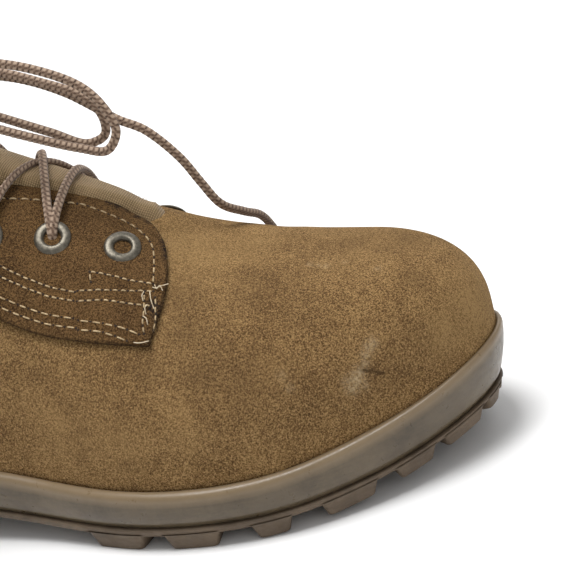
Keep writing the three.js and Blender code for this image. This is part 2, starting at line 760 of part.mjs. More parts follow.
add('outsole', makeOutsole(), 0x57493b, 0.75);
add('midsole', makeMidsole(), 0x6a5f52, 0.45);
add('insole', makeInsole(), 0x4b4636, 0.95);
add('upper', makeUpper(holes), leather, 0.95);
add('tongue', makeTongue(), 0x8f7859, 0.9);
add('eyestay_lateral', makeEyestay('lateral', holes), leather, 0.95);
add('eyestay_medial', makeEyestay('medial', holes), leather, 0.95);
add('heel_counter', makeCounter(), leather, 0.95);
add('collar', makeCollar(), 0x8f7859, 0.9);
eyeletPlaces.forEach((pair, i) => {
  add(`eyelet_lateral_${i + 1}`, eyeletSolid(pair.lateral), 0x8d8577, 0.35, 0.9);
  add(`eyelet_medial_${i + 1}`, eyeletSolid(pair.medial), 0x8d8577, 0.35, 0.9);
});
add('lace', makeLacing(), 0x6e5a4a, 0.9);
add('lace_knot', makeKnot(), 0x6e5a4a, 0.9);
Object.entries(bowRoutes).forEach(([name, route]) => add(name, makeBow(route), 0x6e5a4a, 0.9));

export default boot;
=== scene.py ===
# Lace-up combat boot, right foot: the visible model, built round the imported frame.
# Sizes are in millimetres from the back of the heel and turn into row metres in place().
import math

import bpy
import numpy as np
from mathutils import Matrix, Vector
from mathutils.bvhtree import BVHTree


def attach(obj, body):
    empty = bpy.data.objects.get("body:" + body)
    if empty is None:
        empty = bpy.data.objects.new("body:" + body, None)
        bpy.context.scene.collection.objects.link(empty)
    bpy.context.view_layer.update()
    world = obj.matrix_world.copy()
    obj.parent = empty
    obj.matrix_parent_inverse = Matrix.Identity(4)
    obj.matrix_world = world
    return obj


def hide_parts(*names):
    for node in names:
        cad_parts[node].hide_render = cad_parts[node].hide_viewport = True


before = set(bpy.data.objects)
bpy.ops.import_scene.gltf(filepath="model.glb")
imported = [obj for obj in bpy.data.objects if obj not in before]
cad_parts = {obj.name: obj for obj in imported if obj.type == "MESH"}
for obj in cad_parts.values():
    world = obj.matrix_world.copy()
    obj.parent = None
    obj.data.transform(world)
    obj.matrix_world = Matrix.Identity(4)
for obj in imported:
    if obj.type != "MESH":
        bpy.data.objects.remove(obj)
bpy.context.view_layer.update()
rng = np.random.default_rng(7)


# ---------------------------------------------------------------- sizes
def table(columns, *rows):
    """Named columns from rows of numbers."""
    return dict(zip(columns.split(), np.array(rows, float).T))


SOLE_LENGTH = 305.0
TOE_SPRING = 12.5
SPRING_START = 215.0
COLLAR_HEIGHT = 238.0
TONGUE_TOP = 246.0
THROAT_MIDDLE = 8.5
SHAFT_MIDDLE = 48.0
LIP_WIDTH = 3.5
UPPER_TIP = SOLE_LENGTH - LIP_WIDTH
THROAT_FRONT = 198.0

SOLE_PLAN = table(
    "at lateral medial drift",
    (0, 36.5, 36, 0),
    (45, 38.5, 37, 0),
    (90, 39.5, 34.5, 0),
    (120, 41, 33.5, 0),
    (150, 46, 37, 0),
    (185, 56.2, 45, 0),
    (212, 58.2, 48.5, 0),
    (240, 54, 49.2, 0.5),
    (270, 46.7, 44.9, 2.5),
    (305, 43.7, 37.8, 6),
)
HEEL_ROUND = (34, 2.2)
TOE_ROUND = {"lateral": (76, 2.05), "medial": (57, 2.12)}
SOLE_HEIGHTS = table(
    "at rim joint lip",
    (0, 7, 11, 38),
    (60, 7, 11, 36.5),
    (84, 7.5, 11.5, 34),
    (98, 11.5, 14.5, 32),
    (118, 11.5, 14, 29),
    (138, 8.5, 11, 26),
    (160, 5.8, 8.6, 22.6),
    (190, 5.3, 8, 21),
    (215, 5.2, 7.8, 20.5),
    (248, 4.8, 7.2, 20.6),
    (280, 4.1, 6.1, 21.8),
    (305, 3.6, 5.4, 24.4),
)
LAST = table(
    "at top_x top_z low_x low_z lateral medial on_sole level low_power top_power lean",
    (0, 301.5, 69.5, 301.5, 20, 40, 40, 1, 0.42, 4, 2.5, 1),
    (1, 272, 69.2, 272, 13, 44, 42, 1, 0.38, 4, 2.5, 4),
    (2, 240, 73.3, 240, 9, 50, 45, 1, 0.33, 4, 2.36, 6),
    (3, 210, 82.5, 210, 7.5, 52, 45, 1, 0.29, 4, 2.12, 8.3),
    (4, 180, 99, 180, 8, 50, 42, 1, 0.25, 4, 1.93, 7.5),
    (5, 152, 115, 148, 10, 44, 38, 1, 0.23, 4, 1.85, 5.5),
    (6, 139, 126, 112, 13, 37, 33, 1, 0.22, 4, 1.85, 3),
    (7, 130.5, 135, 74, 17, 35, 33, 0.6, 0.25, 3.8, 1.9, 2),
    (8, 124.5, 143, 38, 20, 34.2, 33.6, 0.2, 0.31, 3.4, 2.0, 1),
    (9, 120.5, 151, 12, 27, 34.2, 34.4, 0, 0.38, 2.7, 2.05, 0),
    (10, 117.5, 159, 4.4, 50, 34.2, 35.2, 0, 0.43, 2.25, 2.1, 0),
    (11, 115.5, 168, 5.6, 80, 34.6, 35.6, 0, 0.45, 2.15, 2.15, 0),
    (12, 114, 180, 10, 112, 35.2, 35.8, 0, 0.46, 2.1, 2.15, 0),
    (13, 113, 195, 11, 145, 36.4, 36.6, 0, 0.47, 2.1, 2.15, 0),
    (14, 112, 214, 8.5, 185, 38.4, 38.4, 0, 0.48, 2.1, 2.15, 0),
    (15, 111.5, 238, 5.5, 226, 40.6, 40.6, 0, 0.48, 2.1, 2.15, 0),
    (16, 112, 270, 4, 262, 42.6, 42.6, 0, 0.48, 2.1, 2.15, 0),
)
LAST_END = 16
TOE_TOP_ROUND = (37, 2.35)
TOE_LOW_ROUND = (8, 3)
THROAT = table(
    "at middle half",
    (60, 0, 16),
    (130, 3, 14),
    (160, 6, 10),
    (190, 8.5, 6),
    (210, 8.5, 5),
)

# Outer edge of the eyestay in the top view: along the throat, then round the wing.
EYESTAY_TOP = {
    "lateral": [
        (40, -17), (60, -16), (95, -14.5), (130, -10.2), (150, -5), (163, -0.6), (175.3, 3.2),
        (181.7, 4.2), (187, 4.3), (191.4, 3.6), (197.2, 1.0), (200.6, -2.2), (203.6, -6.8),
        (205.7, -12.6), (207.2, -19.8), (207.4, -26), (206.8, -31), (205.4, -36), (203.6, -41),
        (201.4, -50), (199.4, -70),
    ],
    "medial": [
        (40, 17), (60, 16), (95, 16.5), (130, 17), (150, 17.6), (163, 18.2), (173, 19.6),
        (181, 22.5), (187, 26.2), (191, 30), (194, 34), (196, 38), (197, 42), (197, 46),
        (196, 52), (194.6, 58), (192, 76),
    ],
}
# Its back and lower edge in the side view.
EYESTAY_BACK = [
    (73, 320), (74, 238), (77, 200), (84, 165), (97, 133), (117, 105), (143, 82.4), (165, 72.2),
    (182, 68.4), (206.5, 63.6), (222, 60),
]
VAMP_BACK = [(190, 130), (172, 106), (156, 86), (142, 64), (130, 42), (120, 20), (112, 0)]
COUNTER_TOP = [(94, 10), (91, 26), (86, 42), (70, 62), (48, 78), (22, 90), (-20, 97)]

EYELET_PAIRS = 8
FIRST_EYELET = 192.3
EYELET_PITCH = 24.0
EYELET_SETBACK = 17.5
FRONT_INNER_SETBACK = 21.5
EYELET_LIFT = 2.05
FRONT_INNER_LIFT = 1.6
EYELET_LEAN = -0.12
TREAD = {
    "rim_inset": 1.0, "draft": 1.7, "depth": 17.0, "width": 16.5,
    "heel": 4, "heel_pitch": 22.0, "heel_first": 11.0,
}
# Forefoot blocks along each edge, from the tip of the toe.
LUGS = table("start width", (1.5, 13), (17, 21), (41, 16.5), (63.5, 20), (93, 14.2), (117.2, 19.8), (144, 22))
BAR_PLACES = (24, 46, 68, 158, 179, 200, 221, 242, 263)
BAR_LENGTH = 14.0
BAR_GAP = 6.0

# The bow's routes, from the knot out, as in the part's source.
BOW = {
    "lace_loop_outer": [
        (135, -3.5, 152), (146, -4.5, 154.5), (160, -4, 153.5), (175, -3, 148.5),
        (189.6, -3, 140.2), (196.1, -5, 133.2), (199.1, -7, 124.8), (195, -8.5, 119.5),
        (185.5, -8, 121.6), (172, -8, 127), (157, -7.5, 133.5), (145, -7, 139),
        (136, -6.5, 143.5),
    ],
    "lace_loop_inner": [
        (136.5, 2.5, 151), (148, 4, 150), (160, 4, 147.5), (174, 3, 142), (186.4, 2, 135.8),
        (192.3, 1, 128.8), (192.5, -1, 122.5), (186.5, -2.5, 120.8), (175, -2.5, 126.5),
        (160, -1.5, 133.5), (147, -0.5, 139.5), (137, 0, 144),
    ],
    "lace_end_lateral": [
        (132.5, -8.3, 148.5), (137, -15, 147), (139.5, -23.5, 139.5), (136.5, -30, 124),
        (131, -34, 105), (127.5, -36.5, 86), (127, -38.8, 72.2), (127.7, -41.2, 58.5),
        (130, -42.5, 47.7),
    ],
    "lace_end_medial": [
        (134, 7.5, 146.5), (146, 9.5, 146.5), (162, 10, 143), (178, 9.5, 135.5),
        (193.4, 9.5, 123.5), (201.3, 10.5, 118), (209.8, 12, 106.3), (213.9, 13, 96.9),
        (218, 14.5, 87.7), (222, 23.5, 80.2), (224.1, 32.3, 74.7), (224.5, 39.3, 67.6),
        (224.9, 44.3, 58.9), (224.7, 47.3, 49.3), (224.7, 48.7, 40),
    ],
}
LACE_WIDTH = 3.0
LACE_THICK = 2.4

# Soft troughs: middle, half-length along a direction, width and depth.
CREASES = table(
    "x y z along_x along_y along_z half width depth",
    (202, 8.5, 88, 0, 1, 0, 10, 5, -2.0),
    (222, -30, 66, 0.25, 0.8, 0.35, 20, 5, 0.35),
    (232, 25, 68, 0.1, -0.9, 0.2, 18, 5, 0.3),
    (96, -38, 110, 0.7, 0, 0.55, 24, 5, 1.2),
    (78, -38, 96, 0.8, 0, 0.4, 26, 5, 1.0),
    (60, -38, 130, 0.95, 0, 0.25, 26, 6, 1.1),
    (92, 38, 112, 0.75, 0, 0.5, 22, 5, 1.2),
    (74, 38, 98, 0.8, 0, 0.35, 26, 5, 1.0),
    (58, 38, 134, 0.95, 0, 0.2, 26, 6, 1.1),
    (8, 0, 118, 0, 1, 0.1, 22, 6, 1.1),
    (9, 0, 146, 0, 1, -0.08, 20, 7, 0.9),
    (58, -40, 176, 0.9, 0, -0.2, 30, 9, 0.9),
    (55, 40, 168, 0.9, 0, 0.25, 30, 9, 0.9),
)


# ---------------------------------------------------------------- tables and curves
def read(rows, column, position):
    """Smooth value of one column of a table between its rows."""
    at, value = rows["at"], rows[column]
    last = len(at) - 1
    x = np.clip(np.asarray(position, float), at[0], at[-1])
    i = np.clip(np.searchsorted(at, x, side="left"), 1, last)
    before, after = np.maximum(np.arange(last + 1) - 1, 0), np.minimum(np.arange(last + 1) + 1, last)
    slope = (value[after] - value[before]) / (at[after] - at[before])
    span = at[i] - at[i - 1]
    t = (x - at[i - 1]) / span
    ease = t * t * (3 - 2 * t)
    rise = (1 - t) ** 2 * t * slope[i - 1] * span
    fall = t * t * (1 - t) * slope[i] * span
    return value[i - 1] * (1 - ease) + value[i] * ease + rise - fall


def end_round(distance, shape):
    """Share of the full width at a distance from a rounded end."""
    reach, power = shape
    depth = np.clip(1 - distance / reach, 0, 1)
    return (1 - depth**power) ** (1 / power)


def smoothstep(x, low, high):
    t = np.clip((x - low) / (high - low), 0, 1)
    return t * t * (3 - 2 * t)


def spring(x):
    """How far the toe curls up off the floor."""
    return TOE_SPRING * (np.maximum(x - SPRING_START, 0) / (SOLE_LENGTH - SPRING_START)) ** 2


def sole_height(column, x):
    return read(SOLE_HEIGHTS, column, x) + spring(x)


def spline(points, count):
    """Points at even steps along a smooth curve through the given ones."""
    p = np.array(points, float)
    p = np.vstack([2 * p[0] - p[1], p, 2 * p[-1] - p[-2]])
    t = np.linspace(0, 1, 24, endpoint=False)[:, None]
    dense = []
    for a, b, c, d in zip(p, p[1:], p[2:], p[3:]):
        ab, bc, cd = (max(np.linalg.norm(v) ** 0.5, 1e-6) for v in (b - a, c - b, d - c))
        m1 = (c - b) + bc * ((b - a) / ab - (c - a) / (ab + bc))
        m2 = (c - b) + bc * ((d - c) / cd - (d - b) / (bc + cd))
        dense.append(
            (2 * t**3 - 3 * t**2 + 1) * b + (t**3 - 2 * t**2 + t) * m1
            + (3 * t**2 - 2 * t**3) * c + (t**3 - t**2) * m2
        )
    dense = np.vstack([*dense, p[-2:-1]])
    return resample(dense, count)


def lengths(points):
    return np.concatenate([[0], np.cumsum(np.linalg.norm(np.diff(points, axis=0), axis=1))])


def resample(points, count):
    along = lengths(points)
    want = np.linspace(0, along[-1], count)
    return np.stack([np.interp(want, along, points[:, k]) for k in range(points.shape[1])], 1)


def side_of(points, curve):
    """Signed distance in a plane from points to a curve, positive on its left."""
    a, b = curve[:-1], curve[1:]
    best = np.full(len(points), 1e9)
    sign = np.ones(len(points))
    for p, q in zip(a, b):
        d = q - p
        share = np.clip((points - p) @ d / (d @ d), 0, 1)
        away = points - p - share[:, None] * d
        distance = np.hypot(away[:, 0], away[:, 1])
        cross = d[0] * (points[:, 1] - p[1]) - d[1] * (points[:, 0] - p[0])
        near = distance < best - 1e-9
        best = np.where(near, distance, best)
        sign = np.where(near, np.sign(cross), sign)
    return best * sign


# ---------------------------------------------------------------- the last
def last_point(t, angle):
    """Points of the last's surface, at section t and an angle round it from the instep."""
    value = lambda column: read(LAST, column, t)
    top_x, top_z, low_x, low_z = (value(c) for c in ("top_x", "top_z", "low_x", "low_z"))
    height = np.hypot(top_x - low_x, top_z - low_z)
    level = value("level")
    centre_x = low_x + (top_x - low_x) * level
    centre_z = low_z + (top_z - low_z) * level
    to_tip = np.where(t < 2, UPPER_TIP - centre_x, 1e9)
    slim = {
        side: end_round(to_tip, (TOE_ROUND[side][0] - LIP_WIDTH, TOE_ROUND[side][1]))
        for side in TOE_ROUND
    }
    rise = height * (1 - level) * end_round(to_tip, TOE_TOP_ROUND)
    drop = height * level * end_round(to_tip, TOE_LOW_ROUND)
    on = value("on_sole")
    width = {
        side: slim[side] * ((1 - on) * value(side) + on * (read(SOLE_PLAN, side, centre_x) - LIP_WIDTH))
        for side in slim
    }
    drift = read(SOLE_PLAN, "drift", centre_x) * on
    lean = value("lean") * (slim["lateral"] + slim["medial"]) / 2
    c, s = np.cos(angle), np.sin(angle)
    power = 2 / np.where(c > 0, value("top_power"), value("low_power"))
    share = np.sign(c) * np.abs(c) ** power
    up = share * np.where(c > 0, rise, drop)
    reach = np.sign(s) * np.abs(s) ** power * np.where(s > 0, width["medial"], width["lateral"])
    up_x, up_z = (top_x - low_x) / height, (top_z - low_z) / height
    return np.stack(
        [centre_x + up_x * up, reach + drift + lean * np.maximum(share, 0) ** 2, centre_z + up_z * up],
        -1,
    )


def crease(p):
    """How far the surface moves outwards at points of the last, in folds left by wear."""
    moved = np.zeros(p.shape[:-1])
    for k in range(len(CREASES["x"])):
        row = {name: column[k] for name, column in CREASES.items()}
        middle = np.array([row["x"], row["y"], row["z"]])
        along = np.array([row["along_x"], row["along_y"], row["along_z"]])
        along = along / np.linalg.norm(along)
        away = p - middle
        run = away @ along
        off = away - run[..., None] * along
        across = np.linalg.norm(off, axis=-1)
        fade = np.exp(-((run / row["half"]) ** 2) * 1.6)
        near = np.exp(-((across / row["width"]) ** 2))
        beside = np.exp(-(((across - 1.9 * row["width"]) / row["width"]) ** 2))
        moved += row["depth"] * fade * (0.45 * beside - near)
    return moved


def last_at(t, angle, offset=0.0, creased=True):
    """Points on the last moved out along its normals, and those normals."""
    t, angle = np.broadcast_arrays(np.asarray(t, float), np.asarray(angle, float))
    p = last_point(t, angle)
    step = 0.01
    back = np.minimum(step, t * 0.5)
    along = last_point(np.minimum(t + step, LAST_END), angle) - last_point(t - back, angle)
    around = last_point(t, angle + step) - last_point(t, angle - step)
    normal = np.cross(around, along)
    normal /= np.linalg.norm(normal, axis=-1, keepdims=True) + 1e-12
    out = np.asarray(offset, float) + (crease(p) if creased else 0)
    return p + normal * out[..., None] if np.ndim(out) else p + normal * out, normal


# ---------------------------------------------------------------- sole outline
def outline(x, side):
    """The sole's edge in the top view."""
    sign = -1 if side == "lateral" else 1
    shape = end_round(x, HEEL_ROUND) * end_round(SOLE_LENGTH - x, TOE_ROUND[side])
    return np.stack([x, read(SOLE_PLAN, "drift", x) + sign * shape * read(SOLE_PLAN, side, x)], -1)


STATIONS = np.arange(SOLE_LENGTH)
MIDDLE = (outline(STATIONS, "medial")[:, 1].max() + outline(STATIONS, "lateral")[:, 1].min()) / 2
ROW = np.array([-SOLE_LENGTH / 2, -MIDDLE, 0])


def place(points):
    """Row metres from millimetres measured from the back of the heel."""
    return (np.asarray(points, float) + ROW) / 1000


TOE_TUCK = 5.0


def tuck(x, toe, heel=0.0):
    """Extra inset that draws the sole's edge in under the toe, or its lip in round the heel."""
    return toe * smoothstep(x, 262, 303) + heel * (1 - smoothstep(x, 12, 62))


def inset_points(turn, side, inset):
    """Points inside the sole's edge, as a turn from the heel, 0, to the toe's tip, pi."""
    at = lambda angle: outline(SOLE_LENGTH * (1 - np.cos(angle)) / 2, side)
    angle = np.clip(turn, 0.001, math.pi - 0.001)
    tangent = at(angle + 0.0009) - at(angle - 0.0009)
    tangent /= np.linalg.norm(tangent, axis=-1, keepdims=True)
    inward = 1 if side == "lateral" else -1
    across = np.stack([-tangent[..., 1], tangent[..., 0]], -1) * inward
    return at(turn) + across * np.asarray(inset)[..., None]


# ---------------------------------------------------------------- meshes
def mesh_object(name, points, faces, uv=None, values=None):
    """An object from points in millimetres, with its UVs and float attributes."""
    mesh = bpy.data.meshes.new(name)
    corners = [tuple(dict.fromkeys(face)) for face in np.asarray(faces).tolist()]
    mesh.from_pydata(place(points).tolist(), [], corners)
    for key, column in (values or {}).items():
        made = mesh.attributes.new(key, "FLOAT", "POINT")
        made.data.foreach_set("value", np.asarray(column, np.float32))
    if uv is not None:
        corners = np.zeros(len(mesh.loops), np.int32)
        mesh.loops.foreach_get("vertex_index", corners)
        layer = mesh.uv_layers.new(name="UVMap")
        layer.data.foreach_set("uv", (np.asarray(uv)[corners] / 1000).astype(np.float32).ravel())
    mesh.polygons.foreach_set("use_smooth", [True] * len(mesh.polygons))
    mesh.validate()
    obj = bpy.data.objects.new(name, mesh)
    bpy.context.scene.collection.objects.link(obj)
    return obj


def finish_piece(obj, material, slot, *nodes):
    """Gives a piece its material and hides the nodes that it stands for; its slot is not used."""
    obj.data.materials.append(material)
    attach(obj, "root")
    if nodes:
        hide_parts(*nodes)
    return obj


def grid_faces(rows, columns, wrap_rows=False, wrap_columns=False):
    """Four-cornered faces over a grid of points."""
    i = np.arange(rows if wrap_rows else rows - 1)
    j = np.arange(columns if wrap_columns else columns - 1)
    i, j = np.meshgrid(i, j, indexing="ij")
    k, n = (i + 1) % rows, (j + 1) % columns
    corners = [i * columns + j, i * columns + n, k * columns + n, k * columns + j]
    return np.stack(corners, -1).reshape(-1, 4)


def joined(parts):
    """Several (points, faces) as one, all with faces of the same number of corners."""
    points, faces, start = [], [], 0
    for p, f in parts:
        points.append(p)
        faces.append(np.asarray(f) + start)
        start += len(p)
    return np.vstack(points), np.vstack(faces)


# ---------------------------------------------------------------- panels on the last
class Chart:
    """A grid over part of the last, with fields measured in millimetres on its surface."""

    def __init__(self, t_range, angle_range, rows, columns, crowd=1.0):
        low, high = t_range
        steps = low + (high - low) * np.linspace(0, 1, rows) ** crowd
        angles = np.radians(np.linspace(*angle_range, columns))
        self.t, self.angle = np.meshgrid(steps, angles, indexing="ij")
        self.p = last_at(self.t, self.angle)[0]
        self.by_t, self.by_angle = np.gradient(self.p, axis=0), np.gradient(self.p, axis=1)
        self.u = np.cumsum(np.linalg.norm(self.by_angle, axis=-1), axis=1)
        self.u -= self.u[:, columns // 2][:, None]
        self.v = np.cumsum(np.linalg.norm(self.by_t, axis=-1), axis=0)

    def metric(self, field):
        """The field divided by its slope along the surface."""
        e = (self.by_t**2).sum(-1)
        f = (self.by_t * self.by_angle).sum(-1)
        g = (self.by_angle**2).sum(-1)
        ft, fa = np.gradient(field, axis=0), np.gradient(field, axis=1)
        slope = (g * ft**2 - 2 * f * ft * fa + e * fa**2) / np.maximum(e * g - f * f, 1e-9)
        return field / np.clip(np.sqrt(np.maximum(slope, 0)), 0.25, 4)

    def beside(self, curve, axes):
        """Distance to the left of a curve drawn in the plane of two axes."""
        flat = self.p[..., axes].reshape(-1, 2)
        return self.metric(side_of(flat, curve).reshape(self.t.shape))

    def side_view(self, curve, count=120):
        return self.beside(spline(curve, count), [0, 2])

    def top_view(self, curve, count=120):
        return self.beside(spline(curve, count), [0, 1])

    def above(self, z):
        return self.metric(self.p[..., 2] - z)


def split(points, faces, level, column=2):
    """Cuts triangles where a column of the points crosses a level."""
    f = points[:, column] - level
    f = np.where(np.abs(f) < 1e-5, 1e-5, f)
    inside = (f > 0)[faces]
    count = inside.sum(1)
    whole = faces[(count == 0) | (count == 3)]
    cut, inside, count = (x[(count == 1) | (count == 2)] for x in (faces, inside, count))
    if not len(cut):
        return points, faces, np.zeros((0, 2), int)
    lone = np.where(count == 1, inside.argmax(1), (~inside).argmax(1))
    cut = np.take_along_axis(cut, (lone[:, None] + [0, 1, 2]) % 3, 1)
    edges = np.sort(np.vstack([cut[:, [0, 1]], cut[:, [0, 2]]]), 1)
    unique, back = np.unique(edges, axis=0, return_inverse=True)
    back = back.reshape(-1)
    share = f[unique[:, 0]] / (f[unique[:, 0]] - f[unique[:, 1]])
    new = points[unique[:, 0]] * (1 - share)[:, None] + points[unique[:, 1]] * share[:, None]
    new[:, column] = level
    m, n = back[: len(cut)] + len(points), back[len(cut):] + len(points)
    parts = [
        np.stack([cut[:, 0], m, n], 1),
        np.stack([m, cut[:, 1], cut[:, 2]], 1),
        np.stack([m, cut[:, 2], n], 1),
    ]
    return np.vstack([points, new]), np.vstack([whole, *parts]), np.stack([m, n], 1)


def chains(segments):
    """Orders segments into open or closed runs of point numbers."""
    near = {}
    for a, b in segments.tolist():
        near.setdefault(a, []).append(b)
        near.setdefault(b, []).append(a)
    runs = []
    starts = [k for k, v in near.items() if len(v) == 1] + list(near)
    seen = set()
    for start in starts:
        if start in seen:
            continue
        run = [start]
        seen.add(start)
        while True:
            step = [k for k in near[run[-1]] if k not in seen]
            if not step:
                break
            run.append(step[0])
            seen.add(step[0])
        if len(run) > 3:
            closed = len(near[start]) == 2 and start in near[run[-1]]
            runs.append(run + [start] if closed else run)
    return runs


def chart_mesh(chart, *fields):
    """The chart's grid in triangles. Each point has its t, its angle and the fields."""
    points = np.stack([c.ravel() for c in (chart.t, chart.angle, *fields)], 1)
    quads = grid_faces(*chart.t.shape)
    return points, np.vstack([quads[:, [0, 1, 2]], quads[:, [0, 2, 3]]])


def keep_used(points, faces):
    """Drops the points that no face uses."""
    used = np.unique(faces)
    renumber = np.zeros(len(points), int)
    renumber[used] = np.arange(len(used))
    return points[used], renumber[faces]


EDGE_LOOP = 0.12


def cut_out(chart, field, levels, *more):
    """The part of a chart where a field is above 0, with loops of edges at some levels."""
    points, faces = chart_mesh(chart, field, chart.u, chart.v, *more)
    points, faces, _ = split(points, faces, 0.0)
    faces = faces[points[faces, 2].mean(1) > 0]
    for level in levels:
        points, faces, _ = split(points, faces, level)
    return keep_used(points, faces)


def raised(name, points, faces, lift, inwards=False):
    """An object from cut-out points that are lifted off the last."""
    t, angle, edge, u, v = points.T[:5]
    p, normal = last_at(t, angle, lift)
    a, b, c = (p[faces[:, k]] for k in range(3))
    facing = np.einsum("ij,ij->i", np.cross(b - a, c - a), normal[faces[:, 0]])
    if (np.median(facing) > 0) == inwards:
        faces = faces[:, ::-1]
    return mesh_object(name, p, faces, np.stack([u, v], 1), {"edge": edge})


def quarter_round(share):
    """Height of a quarter circle, from 0 at its foot to 1 where it turns level."""
    return np.sqrt(1 - (1 - np.clip(share, 0, 1)) ** 2)


def panel(name, chart, field, base, thick, roll=1.6, drop=0.5):
    """A sheet over the last whose edge, at field 0, rolls down to what is under it."""
    points, faces = cut_out(chart, field, (EDGE_LOOP, 0.4 * roll, roll))
    edge = points[:, 2]
    rolled = thick * (0.55 + 0.45 * quarter_round(edge / roll))
    lift = np.where(edge <= EDGE_LOOP / 2, -drop, rolled)
    return raised(name, points, faces, base + lift)


def rows_at(chart, field, level, offset, others=(), keep=None):
    """The lines on the last where a field has a value, as 3-D runs on a given offset."""
    points, faces, segments = split(*chart_mesh(chart, field, *others), level)
    runs = []
    for run in chains(segments):
        line = last_at(points[run, 0], points[run, 1], offset)[0]
        good = keep(line, *points[run, 3:].T) if keep else np.ones(len(line), bool)
        for part in np.split(np.arange(len(run)), np.flatnonzero(np.diff(good.astype(int))) + 1):
            if good[part[0]] and len(part) > 6:
                runs.append(line[part])
    return runs


# ---------------------------------------------------------------- node materials
def linear(*color):
    """A colour for a material, from its red, green and blue as shown on a screen."""
    return tuple(((c / 255 + 0.055) / 1.055) ** 2.4 for c in color) + (1,)


def fill(tree, made, inputs):
    """Sets a node's inputs, by a link or by a value."""
    for key, value in inputs.items():
        if hasattr(value, "is_output"):
            tree.links.new(value, made.inputs[key])
        else:
            made.inputs[key].default_value = value


class Paint:
    """A node material, with positions in millimetres."""

    def __init__(self, name, **shader):
        self.material = bpy.data.materials.new(name)
        self.material.use_nodes = True
        self.tree = self.material.node_tree
        self.shader = self.tree.nodes["Principled BSDF"]
        for key, value in shader.items():
            self.shader.inputs[key.replace("_", " ")].default_value = value
        where = self.node("ShaderNodeTexCoord")
        self.place = self.node("ShaderNodeVectorMath", operation="SCALE")
        self.tree.links.new(where.outputs["Object"], self.place.inputs[0])
        self.place.inputs["Scale"].default_value = 1000
        self.uv = self.node("ShaderNodeVectorMath", operation="SCALE")
        self.tree.links.new(where.outputs["UV"], self.uv.inputs[0])
        self.uv.inputs["Scale"].default_value = 1000

    def node(self, kind, inputs=None, **settings):
        made = self.tree.nodes.new(kind)
        for key, value in settings.items():
            setattr(made, key, value)
        fill(self.tree, made, inputs or {})
        return made

    def stretch(self, x, y, z):
        """The place, scaled by axis, for brushed marks."""
        scaled = {0: self.place.outputs[0], 1: (x, y, z)}
        return self.node("ShaderNodeVectorMath", scaled, operation="MULTIPLY")

    def noise(self, scale, detail=3.0, rough=0.55, source=None, distortion=0.0):
        made = self.node(
            "ShaderNodeTexNoise",
            {"Scale": scale, "Detail": detail, "Roughness": rough, "Distortion": distortion},
        )
        self.tree.links.new((source or self.place).outputs[0], made.inputs["Vector"])
        return made.outputs[0]

    def spots(self, places):
        """How deep the place lies in soft round spots, each with a place, a size and a strength."""
        total = 0.0
        for x, y, z, size, strength in places:
            centre = {0: self.place.outputs[0], 1: tuple(np.array((x, y, z)) + ROW)}
            away = self.node("ShaderNodeVectorMath", centre, operation="DISTANCE")
            fall = {"From Min": 0.4 * size, "From Max": size, "To Min": strength, "To Max": 0.0}
            near = self.node("ShaderNodeMapRange", {"Value": away.outputs["Value"], **fall})
            total = self.math("MAXIMUM", near.outputs[0], total)
        return total

    def ramp(self, value, *stops):
        made = self.node("ShaderNodeValToRGB", {0: value})
        elements = made.color_ramp.elements
        while len(elements) < len(stops):
            elements.new(0.5)
        for element, (position, color) in zip(elements, stops):
            element.position = position
            element.color = color if hasattr(color, "__len__") else (color, color, color, 1)
        return made.outputs[0]

    def mix(self, share, a, b, blend="MIX"):
        made = self.node("ShaderNodeMix", data_type="RGBA", blend_type=blend)
        fill(self.tree, made, {0: share, 6: a, 7: b})
        return made.outputs[2]

    def math(self, operation, a, b):
        return self.node("ShaderNodeMath", {0: a, 1: b}, operation=operation).outputs[0]

    def times(self, value, amount):
        return self.math("MULTIPLY", value, amount)

    def weighed(self, *pairs):
        """A sum of values, each times its own weight."""
        total = None
        for value, weight in pairs:
            part = self.times(value, weight)
            total = part if total is None else self.math("ADD", total, part)
        return total

    def attribute(self, name):
        return self.node("ShaderNodeAttribute", attribute_name=name).outputs["Fac"]

    def bump(self, height, distance, before=None):
        inputs = {"Height": height, "Distance": distance / 1000, "Strength": 1.0}
        if before is not None:
            inputs["Normal"] = before
        return self.node("ShaderNodeBump", inputs).outputs[0]

    def finish(self, color, normal=None, roughness=None):
        """Links what the shader shows, and gives the material."""
        inputs = {"Base Color": color, "Normal": normal, "Roughness": roughness}
        wanted = {key: value for key, value in inputs.items() if value is not None}
        fill(self.tree, self.shader, wanted)
        return self.material


